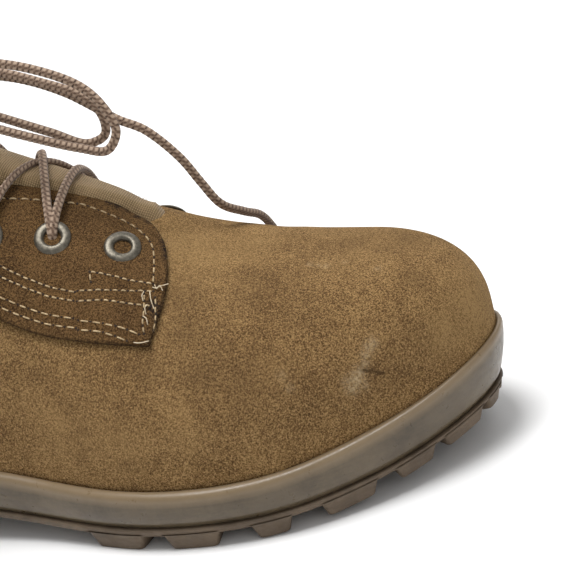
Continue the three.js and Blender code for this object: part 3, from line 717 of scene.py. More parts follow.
def suede(name, dark, middle, light, wear_and_painted_light=(), stains=(), sheen=0.14):
    """Rough-out leather: short nap, mottled by the way it lies, with painted shade along its cut edges."""
    fixed = {"Roughness": 0.95, "Sheen_Roughness": 0.5, "Specular_IOR_Level": 0.12}
    paint = Paint(name, Sheen_Weight=sheen, **fixed)
    paint.shader.inputs["Sheen Tint"].default_value = linear(200, 166, 118)
    patches = paint.noise(0.03, 3, 0.55, distortion=0.4)
    cloud = paint.noise(0.12, 3, 0.6)
    pebble = paint.noise(1.5, 3, 0.7)
    grain = paint.noise(3.2, 3, 0.75)
    tone = paint.weighed((patches, 0.07), (cloud, 0.06), (pebble, 0.32), (grain, 0.55))
    color = paint.ramp(tone, (0.445, dark), (0.5, middle), (0.555, light))
    # Painted shade: the colour is made darker within about a millimetre of each cut edge, where the edge rolls
    # under.
    rim = paint.times(paint.attribute("edge"), 0.5)
    color = paint.mix(1.0, color, paint.ramp(rim, (0.0, 0.42), (0.2, 0.6), (0.6, 1.0)), "MULTIPLY")
    breakup = paint.ramp(paint.noise(0.9, 4, 0.7), (0.40, 0.15), (0.58, 1.0))
    # Each mark mixes in its tint, whether wear, painted light or painted shade.
    for attribute, tint, torn in wear_and_painted_light:
        share = paint.attribute(attribute)
        color = paint.mix(paint.times(share, breakup) if torn else share, color, tint)
    if stains:
        dirty = paint.ramp(paint.noise(1.1, 4, 0.75), (0.42, 0.0), (0.5, 1.0))
        color = paint.mix(paint.times(paint.spots(stains), dirty), color, STAIN_COLOR)
    return paint.finish(color, paint.bump(pebble, 0.6, paint.bump(grain, 0.5)))


def woven(name, dark, light, rib=1.1, warp=0.55):
    """Ribbed nylon: raised ribs across a fine warp, in the cloth's own directions, with painted shade in the
    grooves between ribs.
    """
    fixed = {"Sheen_Weight": 0.2, "Sheen_Roughness": 0.4, "Specular_IOR_Level": 0.25}
    paint = Paint(name, Roughness=0.8, **fixed)

    def wave(pitch, distortion, detail, direction):
        inputs = {"Scale": 0.314 / pitch, "Distortion": distortion, "Detail": detail}
        inputs["Vector"] = paint.uv.outputs[0]
        return paint.node("ShaderNodeTexWave", inputs, bands_direction=direction).outputs["Fac"]

    weave = paint.weighed((wave(rib, 0.6, 2.0, "Y"), 0.6), (wave(warp, 0.8, 1.0, "X"), 0.4))
    # The weave's relief also sets its colour: painted shade in the grooves, lighter on the ribs.
    tone = paint.weighed((weave, 0.6), (paint.noise(0.15, 3), 0.4))
    color = paint.ramp(tone, (0.25, dark), (0.7, light))
    return paint.finish(color, paint.bump(weave, 0.22))


def moulded(name, dark, light, roughness, speckle, lip=None):
    """Moulded sole material: even, with faint mottling, scuffs and dust, and, where a lip tint is given, a
    painted highlight on the lip.
    """
    paint = Paint(name, Specular_IOR_Level=0.45)
    cloud = paint.noise(0.06, 4, 0.6, distortion=0.8)
    fine = paint.noise(0.9, 5, 0.7)
    streak = paint.noise(0.35, 4, 0.7, source=paint.stretch(0.25, 0.25, 1.6))
    tone = paint.weighed((cloud, 0.55), (fine, 0.2), (streak, 0.25))
    color = paint.ramp(tone, (0.36, dark), (0.64, light))
    # Painted highlight: the upward-facing lip is mixed toward the lighter lip tint.
    if lip:
        color = paint.mix(paint.times(paint.attribute("lip"), 0.6), color, lip)
    rough = paint.ramp(paint.noise(0.3, 4, 0.65), (0.3, roughness - 0.08), (0.7, roughness + 0.14))
    return paint.finish(color, paint.bump(fine, speckle), rough)


SUEDE_DARK, SUEDE_MID, SUEDE_LIGHT = linear(76, 54, 31), linear(128, 98, 62), linear(180, 146, 97)
vamp_suede = suede(
    "vamp_suede", SUEDE_DARK, SUEDE_MID, SUEDE_LIGHT,
    wear_and_painted_light=(
        # The shade tint is painted shade and the light tint is painted light; pale marks scuffs and cut marks a
        # real cut.
        ("shade", linear(88, 66, 41), False), ("light", linear(166, 134, 88), True),
        ("pale", linear(196, 172, 134), True), ("cut", linear(48, 34, 21), False),
    ),
)
# Dark marks on the outer wing: at its corner, and along its frayed upper edge.
STAIN_COLOR = linear(28, 24, 24)
STAINS = [
    (204.9, -32.2, 74.4, 3.3, 1.0), (206.0, -33.6, 73.0, 3.0, 1.0), (204.6, -30.6, 75.8, 2.3, 0.8),
    (185.4, 3.2, 98.6, 2.6, 0.9), (188.0, 2.8, 97.2, 3.2, 1.0), (191.0, 2.4, 95.4, 2.2, 0.8),
    (194.6, 1.4, 93.2, 2.8, 0.9), (198.0, 0.2, 90.8, 2.3, 0.7), (204.6, -7.2, 86.0, 2.5, 0.9),
    (205.8, -10.2, 84.6, 2.7, 1.0), (206.5, -13.2, 83.2, 2.5, 0.8), (205.0, -25.6, 78.6, 2.0, 0.7),
    (186.5, -0.6, 98.8, 1.4, 0.7),
]
facing_suede = suede(
    "facing_suede", linear(52, 36, 20), linear(93, 68, 41), linear(132, 101, 63),
    stains=STAINS, sheen=0.04,
)
plain_suede = suede("plain_suede", linear(84, 63, 40), linear(114, 90, 60), linear(142, 115, 81))
nylon = woven("nylon", linear(98, 78, 54), linear(146, 122, 90), rib=0.9, warp=0.7)
tongue_nylon = woven("tongue_nylon", linear(104, 85, 58), linear(160, 136, 101), rib=0.75, warp=0.5)
lining = woven("lining", linear(70, 58, 42), linear(112, 95, 72), rib=2.0, warp=2.0)
binding_tape = woven("binding_tape", linear(96, 76, 52), linear(140, 114, 82), rib=0.8, warp=0.8)
# The midsole's lip tint is a painted highlight on its upward-facing shoulder.
midsole_foam = moulded(
    "midsole_foam", linear(70, 60, 46), linear(99, 86, 67), 0.33, 0.05, lip=linear(150, 128, 98)
)
tread_rubber = moulded("tread_rubber", linear(74, 61, 47), linear(106, 90, 72), 0.62, 0.1)


def metal():
    paint = Paint("eyelet_metal", Metallic=0.75, Roughness=0.42)
    wear = paint.noise(0.8, 4, 0.7)
    color = paint.ramp(wear, (0.3, linear(68, 64, 56)), (0.7, linear(116, 110, 98)))
    return paint.finish(color, paint.bump(paint.noise(2.0, 4), 0.03))


def thread(name, dark, light):
    paint = Paint(name, Roughness=0.75, Specular_IOR_Level=0.3)
    color = paint.ramp(paint.noise(1.4, 3), (0.35, dark), (0.65, light))
    return paint.finish(color, paint.bump(paint.noise(6.0, 2), 0.05))


def braid_material():
    """Herringbone braid: slanted strands that turn at each column round the cord, with painted shade in the
    gaps between strands and a painted highlight on their crowns.
    """
    paint = Paint("lace_braid", Roughness=0.7, Sheen_Weight=0.15, Specular_IOR_Level=0.3)
    # The braid's relief sets its colour: painted shade in the gaps, painted highlight on the strands.
    strands = paint.attribute("strand")
    tone = paint.math("ADD", strands, paint.times(paint.noise(0.9, 3), 0.35))
    dark, middle, light = linear(46, 30, 19), linear(96, 74, 58), linear(160, 138, 118)
    color = paint.ramp(tone, (0.25, dark), (0.6, middle), (1.1, light))
    return paint.finish(color, paint.bump(strands, 0.25))


# ---------------------------------------------------------------- camera and floor
AZIMUTH, ELEVATION, ROLL, DISTANCE = 19.7, 22.4, -15.25, 600.0
AIM = (238.84, 0.0, 59.61)
LENS = 114.3
SKY_STRENGTH = 0.42


def make_camera():
    az, el, roll = (math.radians(v) for v in (AZIMUTH, ELEVATION, ROLL))
    back = Vector((math.sin(az) * math.cos(el), -math.cos(az) * math.cos(el), math.sin(el)))
    level = Vector((math.cos(az), math.sin(az), 0))
    rise = back.cross(level)
    right = level * math.cos(roll) + rise * math.sin(roll)
    up = rise * math.cos(roll) - level * math.sin(roll)
    camera = bpy.data.objects.new("camera", bpy.data.cameras.new("camera"))
    bpy.context.scene.collection.objects.link(camera)
    camera.data.lens = LENS
    camera.data.sensor_width = 36
    camera.data.clip_end = 20
    at = Vector(place(AIM)) + back * DISTANCE / 1000
    camera.matrix_world = Matrix.Translation(at) @ Matrix((right, up, back)).transposed().to_4x4()
    bpy.context.scene.camera = camera


def area_light(name, at, aim, size, power):
    light = bpy.data.lights.new(name, "AREA")
    light.shape = "RECTANGLE"
    light.size, light.size_y = size
    light.energy = power
    obj = bpy.data.objects.new(name, light)
    bpy.context.scene.collection.objects.link(obj)
    obj.location = at
    obj.rotation_euler = (Vector(aim) - Vector(at)).to_track_quat("-Z", "Y").to_euler()


def make_stage():
    bpy.ops.mesh.primitive_plane_add(size=12, location=(0, 0, 0))
    floor = bpy.context.object
    floor.name = "floor"
    paint = Paint("floor_paint", Roughness=0.9, Specular_IOR_Level=0.1)
    pale = paint.ramp(paint.noise(0.002), (0.4, 0.86), (0.6, 0.88))
    floor.data.materials.append(paint.finish(pale))
    world = bpy.data.worlds.new("studio")
    bpy.context.scene.world = world
    world.use_nodes = True
    sky = world.node_tree.nodes["Background"]
    fill(world.node_tree, sky, {"Color": (1, 1, 1, 1), "Strength": SKY_STRENGTH})
    area_light("key", (-0.1, -0.05, 1.35), (0.05, 0, 0.04), (0.7, 0.7), 21)
    area_light("front", (1.1, -0.8, 0.7), (0.08, 0, 0.04), (0.8, 0.8), 2.0)
    area_light("back", (0.1, 1.1, 0.9), (0.05, 0, 0.05), (1.0, 0.8), 4)
    bpy.context.scene.view_settings.view_transform = "Standard"


make_camera()
make_stage()
braid_paint = braid_material()


# ---------------------------------------------------------------- laces
LACE_SIDES = 12
LACE_FLAT = (0.3, -0.85, 0.4)
BRAID_PITCH = 1.9
RING_STEP = 0.42


def tube(line, width, thick, sides):
    """Rings round a line, wider along one direction, with a braid's relief."""
    tangent = np.gradient(line, axis=0)
    tangent /= np.linalg.norm(tangent, axis=1, keepdims=True)
    normal = []
    before = np.array(LACE_FLAT, float)
    for way in tangent:
        before = before - way * (before @ way)
        before = before / np.linalg.norm(before)
        normal.append(before)
    normal = np.array(normal)
    wide = np.cross(tangent, normal)
    turn = np.arange(sides) / sides * 2 * math.pi
    along = lengths(line)
    strand = braid(along[:, None], turn[None, :])
    out = 1 + 0.16 * (strand - 0.6)
    across = (width / 2 * np.cos(turn))[None, :, None] * wide[:, None, :] * out[..., None]
    rise = (thick / 2 * np.sin(turn))[None, :, None] * normal[:, None, :] * out[..., None]
    points = (line[:, None, :] + across + rise).reshape(-1, 3)
    return points, grid_faces(len(line), sides, wrap_columns=True), strand.ravel()


def braid(along, turn):
    """Relief of a herringbone braid, from 0 in its gaps to 1 on a strand."""
    column = np.abs(((turn / (2 * math.pi) * 4) % 1) - 0.5) * 2
    wave = (along / BRAID_PITCH + column * 0.75) % 1
    return np.clip(np.sin(wave * math.pi), 0, 1) ** 0.7 * (0.55 + 0.45 * np.sin(column * math.pi) ** 0.5)


def lace_piece(name, lines):
    """Braided cord along some lines, closed at its ends."""
    parts, strands = [], []
    k = np.arange(LACE_SIDES)
    n = (k + 1) % LACE_SIDES
    for line in lines:
        p, f, s = tube(line, LACE_WIDTH, LACE_THICK, LACE_SIDES)
        tips = np.full((2, LACE_SIDES), [[len(p)], [len(p) + 1]])
        end = len(p) - LACE_SIDES
        caps = [np.stack([tips[0], k, n, tips[0]], 1), np.stack([tips[1], end + n, end + k, tips[1]], 1)]
        parts.append((np.vstack([p, line[0], line[-1]]), np.vstack([f, *caps])))
        strands.append(np.concatenate([s, [0.5, 0.5]]))
    points, faces = joined(parts)
    obj = mesh_object(name, points, faces, values={"strand": np.concatenate(strands)})
    return finish_piece(obj, braid_paint, "lace")


def evenly(lines):
    """The lines with their points one ring's step apart."""
    return [resample(line, int(lengths(line)[-1] / RING_STEP)) for line in lines]


def make_bow():
    for name, route in BOW.items():
        line = evenly([spline(route, 400)])[0]
        obj = lace_piece(name, [line])
        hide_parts(name)


make_bow()


# ---------------------------------------------------------------- places on the boot
def beside_throat(t, side, distance):
    """Angles round sections t that lie at a distance beyond the throat's edge."""
    turn = -1 if side == "lateral" else 1
    angle = np.arange(0, 1.9, 0.004) * turn
    p = last_point(*np.broadcast_arrays(t[:, None], angle))
    step = np.linalg.norm(np.diff(p, axis=1), axis=-1)
    edge = read(THROAT, "middle", p[..., 0]) + turn * read(THROAT, "half", p[..., 0])
    beyond = (p[:, 1:, 1] - edge[:, 1:]) * turn > 0
    gone = np.cumsum(step * beyond, axis=1)
    return angle[(gone >= distance).argmax(1) + 1]


def eyelet_places():
    """Each eyelet's section and angle, evenly spaced along the outer row."""
    t = np.arange(3, 15.5, 0.01)
    p = last_point(t, beside_throat(t, "lateral", EYELET_SETBACK))
    t, p = t[p[:, 0] <= FIRST_EYELET], p[p[:, 0] <= FIRST_EYELET]
    chosen = np.interp(np.arange(EYELET_PAIRS) * EYELET_PITCH, lengths(p), t)
    inner = np.full((EYELET_PAIRS, 1), EYELET_SETBACK)
    inner[0] = FRONT_INNER_SETBACK
    away = {"lateral": EYELET_SETBACK, "medial": inner}
    return {side: list(zip(chosen, beside_throat(chosen, side, away[side]))) for side in away}


EYELETS = eyelet_places()


# ---------------------------------------------------------------- upper
def throat_curve(front, spread):
    """The throat's outline in the top view, from the shaft forward and back, seen from above."""
    middle, half = read(THROAT, "middle", front), read(THROAT, "half", front) + spread
    x = np.linspace(20, front - 4.2, 24)
    low = np.stack([x, read(THROAT, "middle", x) - read(THROAT, "half", x) - spread], 1)
    high = np.stack([x, read(THROAT, "middle", x) + read(THROAT, "half", x) + spread], 1)
    turn = np.radians(np.linspace(-80, 80, 17))
    square = np.sign(np.sin(turn)) * np.abs(np.sin(turn)) ** 0.7
    nose = np.stack([front - 4 + 4 * np.cos(turn) ** 0.7, middle + half * square], 1)
    return np.vstack([low, nose, high[::-1]])


def in_throat(chart, front=THROAT_FRONT, spread=0.0):
    """Distance inside the throat's edge, forward of the shaft's middle."""
    inside = chart.beside(throat_curve(front, spread), [0, 1])
    return np.where(chart.p[..., 0] > SHAFT_MIDDLE, inside, -20.0)


def above_feather(chart):
    """Height above the line where the upper goes into the midsole, a little below its lip."""
    return chart.metric(chart.p[..., 2] - sole_height("lip", chart.p[..., 0]) + FEATHER_DEPTH)


FEATHER_DEPTH = 3.0
BACKSTAY_HALF = 12.5
COLLAR_DEPTH = 34.0
COLLAR_FRONT = 77.0
FOREFOOT = Chart((1e-5, 7.6), (-180, 180), 230, 320, crowd=1.9)
SHAFT = Chart((2.9, 15.7), (3, 357), 230, 230)
REAR = Chart((3.5, 13.2), (75, 285), 150, 170)
REAR_STRIP = Chart((9.5, 15.4), (150, 210), 150, 40)


def near_patch(p, spots):
    """How much each point lies in soft spots given as x, y, z, size and strength."""
    total = np.zeros(len(p))
    for x, y, z, size, strength in spots:
        d = np.linalg.norm(p - (x, y, z), axis=1) / size
        total = np.maximum(total, strength * np.exp(-(d**2) * 1.5))
    return total


def vertex_points(obj):
    """A piece's points in millimetres from the back of the heel."""
    p = np.zeros(len(obj.data.vertices) * 3)
    obj.data.vertices.foreach_get("co", p)
    return p.reshape(-1, 3) * 1000 - ROW


# Soft spots on the vamp, as x, y, z, size and strength: pale scuffs and rubbed places, painted light on the
# top, the toe and low down the sides, and painted shade beside the facing, down the outer side and over the
# toe.
PALE_SPOTS = [
    (270.6, -29.7, 51.3, 2.2, 0.7), (269.6, -30.8, 50.2, 2.0, 0.85), (268.8, -31.8, 48.9, 1.9, 0.8),
    (268.0, -33.1, 46.4, 1.9, 0.7), (266.3, -34.6, 44.5, 2.4, 0.9), (265.0, -35.8, 42.8, 2.8, 1.0),
    (263.4, -37.0, 40.8, 2.6, 0.9), (266.4, -35.4, 40.2, 2.4, 0.45), (262.2, -37.0, 43.2, 2.2, 0.45),
    (250.3, -7, 70.6, 1.4, 0.45), (253, -7.6, 70.1, 1.4, 0.35), (255.6, -8.1, 69.7, 1.4, 0.45),
    (261.4, -5.8, 69.3, 1.3, 0.3), (272.3, -9.1, 67.1, 1.4, 0.4), (244, -42.5, 50, 2.0, 0.3),
    (246, -44, 46.5, 1.8, 0.3), (240, 38, 50, 4, 0.4), (262, 34, 46, 4, 0.4),
]
# Painted light: lighter spots where the top, the toe and the lower sides catch the light.
PAINTED_LIGHT_SPOTS = [
    (212, -5, 82, 17, 0.75), (228, 2, 78, 13, 0.5), (300, -6, 48, 13, 1.0), (299, 8, 48, 13, 0.8),
    (292, -18, 46, 10, 0.8), (170, -50, 42, 14, 0.35), (190, -53, 37, 11, 0.4), (210.9, -53.3, 39, 9, 0.3),
    (243.5, -41.5, 52, 6, 0.25), (262, -6, 69, 7, 0.2), (255, 30, 62, 16, 0.4), (215, 34, 66, 14, 0.4),
]
# Painted shade: darker spots beside the facing, down the outer side and over the toe.
SHADE_SPOTS = [
    (278, 10, 66.9, 7, 0.5), (284, -10.8, 62, 5, 0.45), (213, -27, 75, 9, 0.45), (215, -37, 66, 9, 0.4),
    (203, -47, 60, 9, 0.35), (220, -47, 56, 12, 0.4), (232, -44, 50, 12, 0.35), (252, -33, 40, 8, 0.25),
    (262, 8, 69, 10, 0.35), (273, 4, 67, 9, 0.3), (236, -20, 72, 12, 0.25), (247, -28, 64, 10, 0.2),
]
# A short cut in the scuff at the toe.
CUT = [
    (266.6, -34.3, 44.8), (268, -33.7, 44.2), (269.5, -33, 43.4), (271.2, -32.2, 42.3),
    (272.8, -31.4, 41.3),
]
CUT_WIDTH = 0.55


def make_vamp():
    """The suede front, up to the throat, with its marks, its painted light and its painted shade as values on
    its points.
    """
    field = np.minimum(above_feather(FOREFOOT), FOREFOOT.side_view(VAMP_BACK))
    field = np.minimum(field, -in_throat(FOREFOOT))
    vamp = panel("vamp", FOREFOOT, field, -1.2, 1.2, roll=1.4, drop=1.6)
    p = vertex_points(vamp)
    marks = {
        # shade and light hold painted shade and painted light; pale and cut hold the scuffs and the cut.
        "pale": PALE_SPOTS, "shade": SHADE_SPOTS, "light": PAINTED_LIGHT_SPOTS,
        "cut": [(*at, CUT_WIDTH, 1.0) for at in spline(CUT, 24)],
    }
    for name, spots in marks.items():
        values = near_patch(p, spots).astype(np.float32)
        vamp.data.attributes.new(name, "FLOAT", "POINT").data.foreach_set("value", values)
    finish_piece(vamp, vamp_suede, "suede", "upper")


def make_quarters():
    """Woven cloth from the vamp's seam to the collar, and the lining inside it all."""
    field = np.minimum(above_feather(SHAFT), -in_throat(SHAFT))
    field = np.minimum(field, -SHAFT.above(COLLAR_HEIGHT))
    quarters = panel("quarters", SHAFT, field, -1.5, 0.8, roll=0.8, drop=0.5)
    finish_piece(quarters, nylon, "nylon")
    inside = Chart((0.3, 15.7), (3, 357), 150, 150)
    field = np.minimum(-in_throat(inside), -inside.above(COLLAR_HEIGHT - 1))
    shell = panel("lining", inside, field, -3.0, 0.5, roll=0.8, drop=0.0)
    finish_piece(shell, lining, "nylon")


def make_eyestay(side):
    """One facing, and its fields: inside its edge by the throat, and inside its back edge."""
    edge = SHAFT.top_view(EYESTAY_TOP[side], 200) * (-1 if side == "lateral" else 1)
    back = SHAFT.side_view(EYESTAY_BACK, 200)
    own = SHAFT.angle > math.pi if side == "lateral" else SHAFT.angle < math.pi
    field = np.minimum(np.minimum(edge, back), -SHAFT.above(COLLAR_HEIGHT - 0.5))
    field = np.where(own, field, -5.0)
    facing = panel(f"eyestay_{side}", SHAFT, field, -0.5, 2.4, roll=0.95, drop=2.1)
    finish_piece(facing, facing_suede, "suede", f"eyestay_{side}")
    return facing, edge, back


def inside_backstay():
    """Distance inside the backstay's long edges. It narrows upwards."""
    x_free = BACKSTAY_HALF - np.abs(REAR_STRIP.p[..., 1])
    return REAR_STRIP.metric(x_free - (REAR_STRIP.p[..., 2] - 90) * 0.02)


def make_counter():
    field = np.minimum(above_feather(REAR), REAR.side_view(COUNTER_TOP))
    counter = panel("heel_counter", REAR, field, -0.9, 2.0, roll=1.4, drop=0.8)
    finish_piece(counter, plain_suede, "suede", "heel_counter")
    field = np.minimum(inside_backstay(), REAR_STRIP.above(84))
    field = np.minimum(field, -REAR_STRIP.above(COLLAR_HEIGHT - 32))
    backstay = panel("backstay", REAR_STRIP, field, -0.9, 1.7, roll=1.3, drop=0.8)
    finish_piece(backstay, plain_suede, "suede")
    return counter, backstay


def make_collar():
    """The padded band round the shaft's top, with one quilted channel."""
    chart = Chart((12.6, 15.4), (35, 325), 90, 260)
    z, x = chart.p[..., 2], chart.p[..., 0]
    low = chart.metric(z - (COLLAR_HEIGHT - COLLAR_DEPTH) - 4 * smoothstep(x, 0, 74))
    sides = np.minimum(low, chart.metric(COLLAR_FRONT - x))
    field = np.minimum(sides, -chart.above(COLLAR_HEIGHT))
    points, faces = cut_out(chart, field, (0.3, 1.0, 2.5, 4.5), sides)
    height = last_point(points[:, 0], points[:, 1])[:, 2]
    pillow = quarter_round(points[:, 5] / 7)
    channel = np.exp(-(((height - (COLLAR_HEIGHT - COLLAR_DEPTH / 2)) / 1.8) ** 2))
    top = smoothstep(height, COLLAR_HEIGHT - 9, COLLAR_HEIGHT)
    lift = -0.9 + (0.2 + 3.6 * pillow) * (1 - 0.5 * channel) * (1 - 0.45 * top)
    collar = raised("collar", points, faces, lift)
    finish_piece(collar, nylon, "nylon", "collar")


def tongue_lift(chart):
    """How far the padded tongue swells up through the throat."""
    x, z = chart.p[..., 0], chart.p[..., 2]
    across = chart.p[..., 1] - read(THROAT, "middle", x)
    beside = read(THROAT, "half", x) - np.abs(across)
    pillow = smoothstep(beside, -2.5, 4.5) * (1 - smoothstep(x, 195, 204))
    crown = 6.8 - 3.2 * smoothstep(z, 112, 160)
    channel = np.exp(-((np.abs(across) - 7.5) ** 2) / 2.5) * smoothstep(z, 108, 125)
    return pillow * (crown - 1.3 * channel)


def make_tongue():
    chart = Chart((2.7, 15.95), (-80, 80), 260, 150)
    field = np.minimum(in_throat(chart, 209, 12), -chart.above(TONGUE_TOP))
    bulge = tongue_lift(chart)

    def layer(name, base, extra, edge_drop, inwards):
        points, faces = cut_out(chart, field, (0.4, 1.2, 2.4), extra)
        round_off = 1 - quarter_round(points[:, 2] / 2.4)
        lift = base + points[:, 5] + edge_drop * round_off
        return raised(name, points, faces, lift, inwards)

    tongue = layer("tongue", -2.8, bulge, -1.7, False)
    finish_piece(tongue, tongue_nylon, "nylon", "tongue")
    inside = layer("tongue_lining", -6.2, 0 * bulge, 1.7, True)
    finish_piece(inside, lining, "nylon")


def binding(name, line, normals, half_wide, thick):
    """A soft rolled band along a line."""
    tangent = np.gradient(line, axis=0)
    tangent /= np.linalg.norm(tangent, axis=1, keepdims=True)
    side = np.cross(tangent, normals)
    sides = 12
    turn = np.arange(sides) / sides * 2 * math.pi
    ring = (
        half_wide * np.cos(turn)[None, :, None] * normals[:, None, :]
        + thick * np.sin(turn)[None, :, None] * side[:, None, :]
    )
    points = (line[:, None, :] + ring).reshape(-1, 3)
    along = lengths(line)
    uv = np.stack(np.meshgrid(turn * half_wide, along), -1).reshape(-1, 2)
    obj = mesh_object(name, points, grid_faces(len(line), sides, wrap_columns=True), uv)
    finish_piece(obj, binding_tape, "nylon")


def level_line(z, low, high, offset, count, keep):
    """A line round the shaft at one height, between two angles in degrees, where it is wanted."""
    t = np.linspace(10, 16, 400)
    angles = np.radians(np.linspace(low, high, count))
    heights = last_point(t[:, None] + 0 * angles, angles + 0 * t[:, None])[..., 2]
    chosen = np.array([np.interp(z, heights[:, k], t) for k in range(count)])
    good = keep(last_point(chosen, angles))
    return last_at(chosen[good], angles[good], offset)


def make_bindings():
    """Tape over the top edges of the shaft and the tongue."""
    behind = lambda p: p[:, 0] < SHAFT_MIDDLE
    beside = lambda p: np.abs(p[:, 1] - read(THROAT, "middle", p[:, 0])) > 16.8
    shaft = lambda p: beside(p) | behind(p)
    line, normal = level_line(COLLAR_HEIGHT - 0.6, 5, 355, -0.4, 500, shaft)
    binding("collar_binding", line, normal, 3.1, 1.9)
    tongue = lambda p: np.abs(p[:, 1]) < 27.2
    line, normal = level_line(TONGUE_TOP - 0.8, -85, 85, -4.2, 240, tongue)
    binding("tongue_binding", line, normal, 2.9, 1.8)


# ---------------------------------------------------------------- sole
SOLE_STEPS = 220


def ring_sweep(profile):
    """Closed rings round the sole through (inset, height at x) pairs, from the outside in."""
    turn = np.linspace(0, math.pi, SOLE_STEPS + 1)
    rings = []
    for inset, height, *amounts in profile:
        x = SOLE_LENGTH * (1 - np.cos(turn)) / 2
        extra = inset + tuck(x, *(amounts or [0.0]))
        out = inset_points(turn, "lateral", extra)
        back = inset_points(turn[::-1], "medial", extra[::-1])[1:-1]
        flat = np.vstack([out, back])
        rings.append(np.column_stack([flat, height(flat[:, 0])]))
    count = len(rings[0])
    points = np.stack(rings).reshape(-1, 3)
    return points, grid_faces(len(profile), count, wrap_columns=True)[:, ::-1]


def across_sole(inset, height, columns, down):
    """A sheet from one edge of the sole to the other at a height."""
    turn = np.linspace(0.02, math.pi - 0.02, SOLE_STEPS)
    extra = inset + tuck(SOLE_LENGTH * (1 - np.cos(turn)) / 2, TOE_TUCK)
    a, b = inset_points(turn, "lateral", extra), inset_points(turn, "medial", extra)
    share = np.linspace(0, 1, columns)[None, :, None]
    flat = a[:, None, :] * (1 - share) + b[:, None, :] * share
    points = np.concatenate([flat, height(flat[..., 0])[..., None]], -1).reshape(-1, 3)
    faces = grid_faces(SOLE_STEPS, columns)
    return points, faces if down else faces[:, ::-1]


def between(low, high, share):
    return lambda x: sole_height(low, x) * (1 - share) + sole_height(high, x) * share


def lifted(column, amount):
    return lambda x: sole_height(column, x) + amount


def make_midsole():
    """A bowed wall, and above it the lip that the upper goes into."""
    wall = []
    for share in np.linspace(0, 1, 13):
        bow = 1.5 - 1.5 * math.sin(math.pi * (0.12 + 0.55 * share)) ** 0.8
        height = lambda x, s=share: (
            (sole_height("joint", x) + 2.1) * (1 - s) + (sole_height("lip", x) - 4.2) * s
        )
        wall.append((bow, height, 4.5 - 2.9 * share))
    profile = [
        (6.0, lifted("joint", 0.1), 5), (1.9, lifted("joint", 0.15), 5),
        (1.75, lifted("joint", 0.9), 5), (1.35, lifted("joint", 1.5), 4.8), *wall,
        (0.3, lifted("lip", -3.3), 1.5), (0.3, lifted("lip", -2.6), 1.3), (0.4, lifted("lip", -1.9), 1.2),
        (0.62, lifted("lip", -1.3), 1.1), (1.0, lifted("lip", -0.8), 0.9), (1.6, lifted("lip", -0.4), 0.6, 1),
        (2.4, lifted("lip", -0.1), 0.3, 2), (3.1, lifted("lip", 0.0), 0, 4), (3.5, lifted("lip", -0.4), 0, 5.5),
        (3.8, lifted("lip", -3), 0, 6), (5.5, lifted("lip", -7), 0, 6),
    ]
    points, faces = ring_sweep(profile)
    # How far each ring lies on the lip's shoulder, which takes the painted highlight.
    rank = np.repeat(np.arange(len(profile)), len(points) // len(profile))
    lip = np.interp(rank, [15, 18, 24, 27], [0, 0.7, 1, 1])
    obj = mesh_object("midsole", points, faces, None, {"lip": lip})
    finish_piece(obj, midsole_foam, "midsole", "midsole")


def edge_lengths(side):
    """Turns along one edge of the sole, with their lengths from the toe's tip."""
    turn = np.linspace(math.pi, 0, 601)
    flat = inset_points(turn, side, np.zeros(601))
    return turn, lengths(flat)


EDGES = {side: edge_lengths(side) for side in TOE_ROUND}


def round_box(low_u, high_u, low_v, high_v, radius, steps=5):
    """Corners of a rectangle, rounded, as a loop."""
    corner = np.radians(np.linspace(0, 90, steps))
    loop = []
    for k, (cu, cv) in enumerate((
        (high_u - radius, high_v - radius), (low_u + radius, high_v - radius),
        (low_u + radius, low_v + radius), (high_u - radius, low_v + radius),
    )):
        turn = corner + k * math.pi / 2
        loop.append(np.stack([cu + radius * np.cos(turn), cv + radius * np.sin(turn)], 1))
        if k in (0, 2):
            u = np.linspace(cu, (low_u + radius) if k == 0 else (high_u - radius), 9)[1:-1]
            v = high_v if k == 0 else low_v
            loop.append(np.stack([u, np.full(7, v)], 1))
    return np.vstack(loop)


# A block's inset and its share of the height, from the middle of its foot up.
LUG_PROFILE = (
    (3.1, 0.0), (2.3, 0.0), (1.9, 0.03), (1.7, 0.1), (1.15, 0.4), (0.6, 0.7), (0.1, 0.93),
    (-0.6, 1.05),
)


def lug_mesh(bounds_uv, mapping):
    """A tapered block between the floor and the rim, with rounded corners and edges."""
    low_u, high_u, low_v, high_v = bounds_uv
    rings = []
    for draft, share in LUG_PROFILE:
        loop = round_box(low_u + draft, high_u - draft, low_v + draft * 0.6, high_v - draft, 1.6)
        flat = mapping(loop)
        top = sole_height("rim", flat[:, 0]) + 0.6
        floor = spring(flat[:, 0])
        rings.append(np.column_stack([flat, floor + (top - floor) * share]))
    count = len(rings[0])
    centre = rings[0].mean(0)
    points = np.vstack([*rings, centre])
    faces = grid_faces(len(rings), count, wrap_columns=True)
    k = np.arange(count)
    cap = np.stack([np.full(count, len(points) - 1), (k + 1) % count, k, k], 1)
    return points, np.vstack([faces, cap])


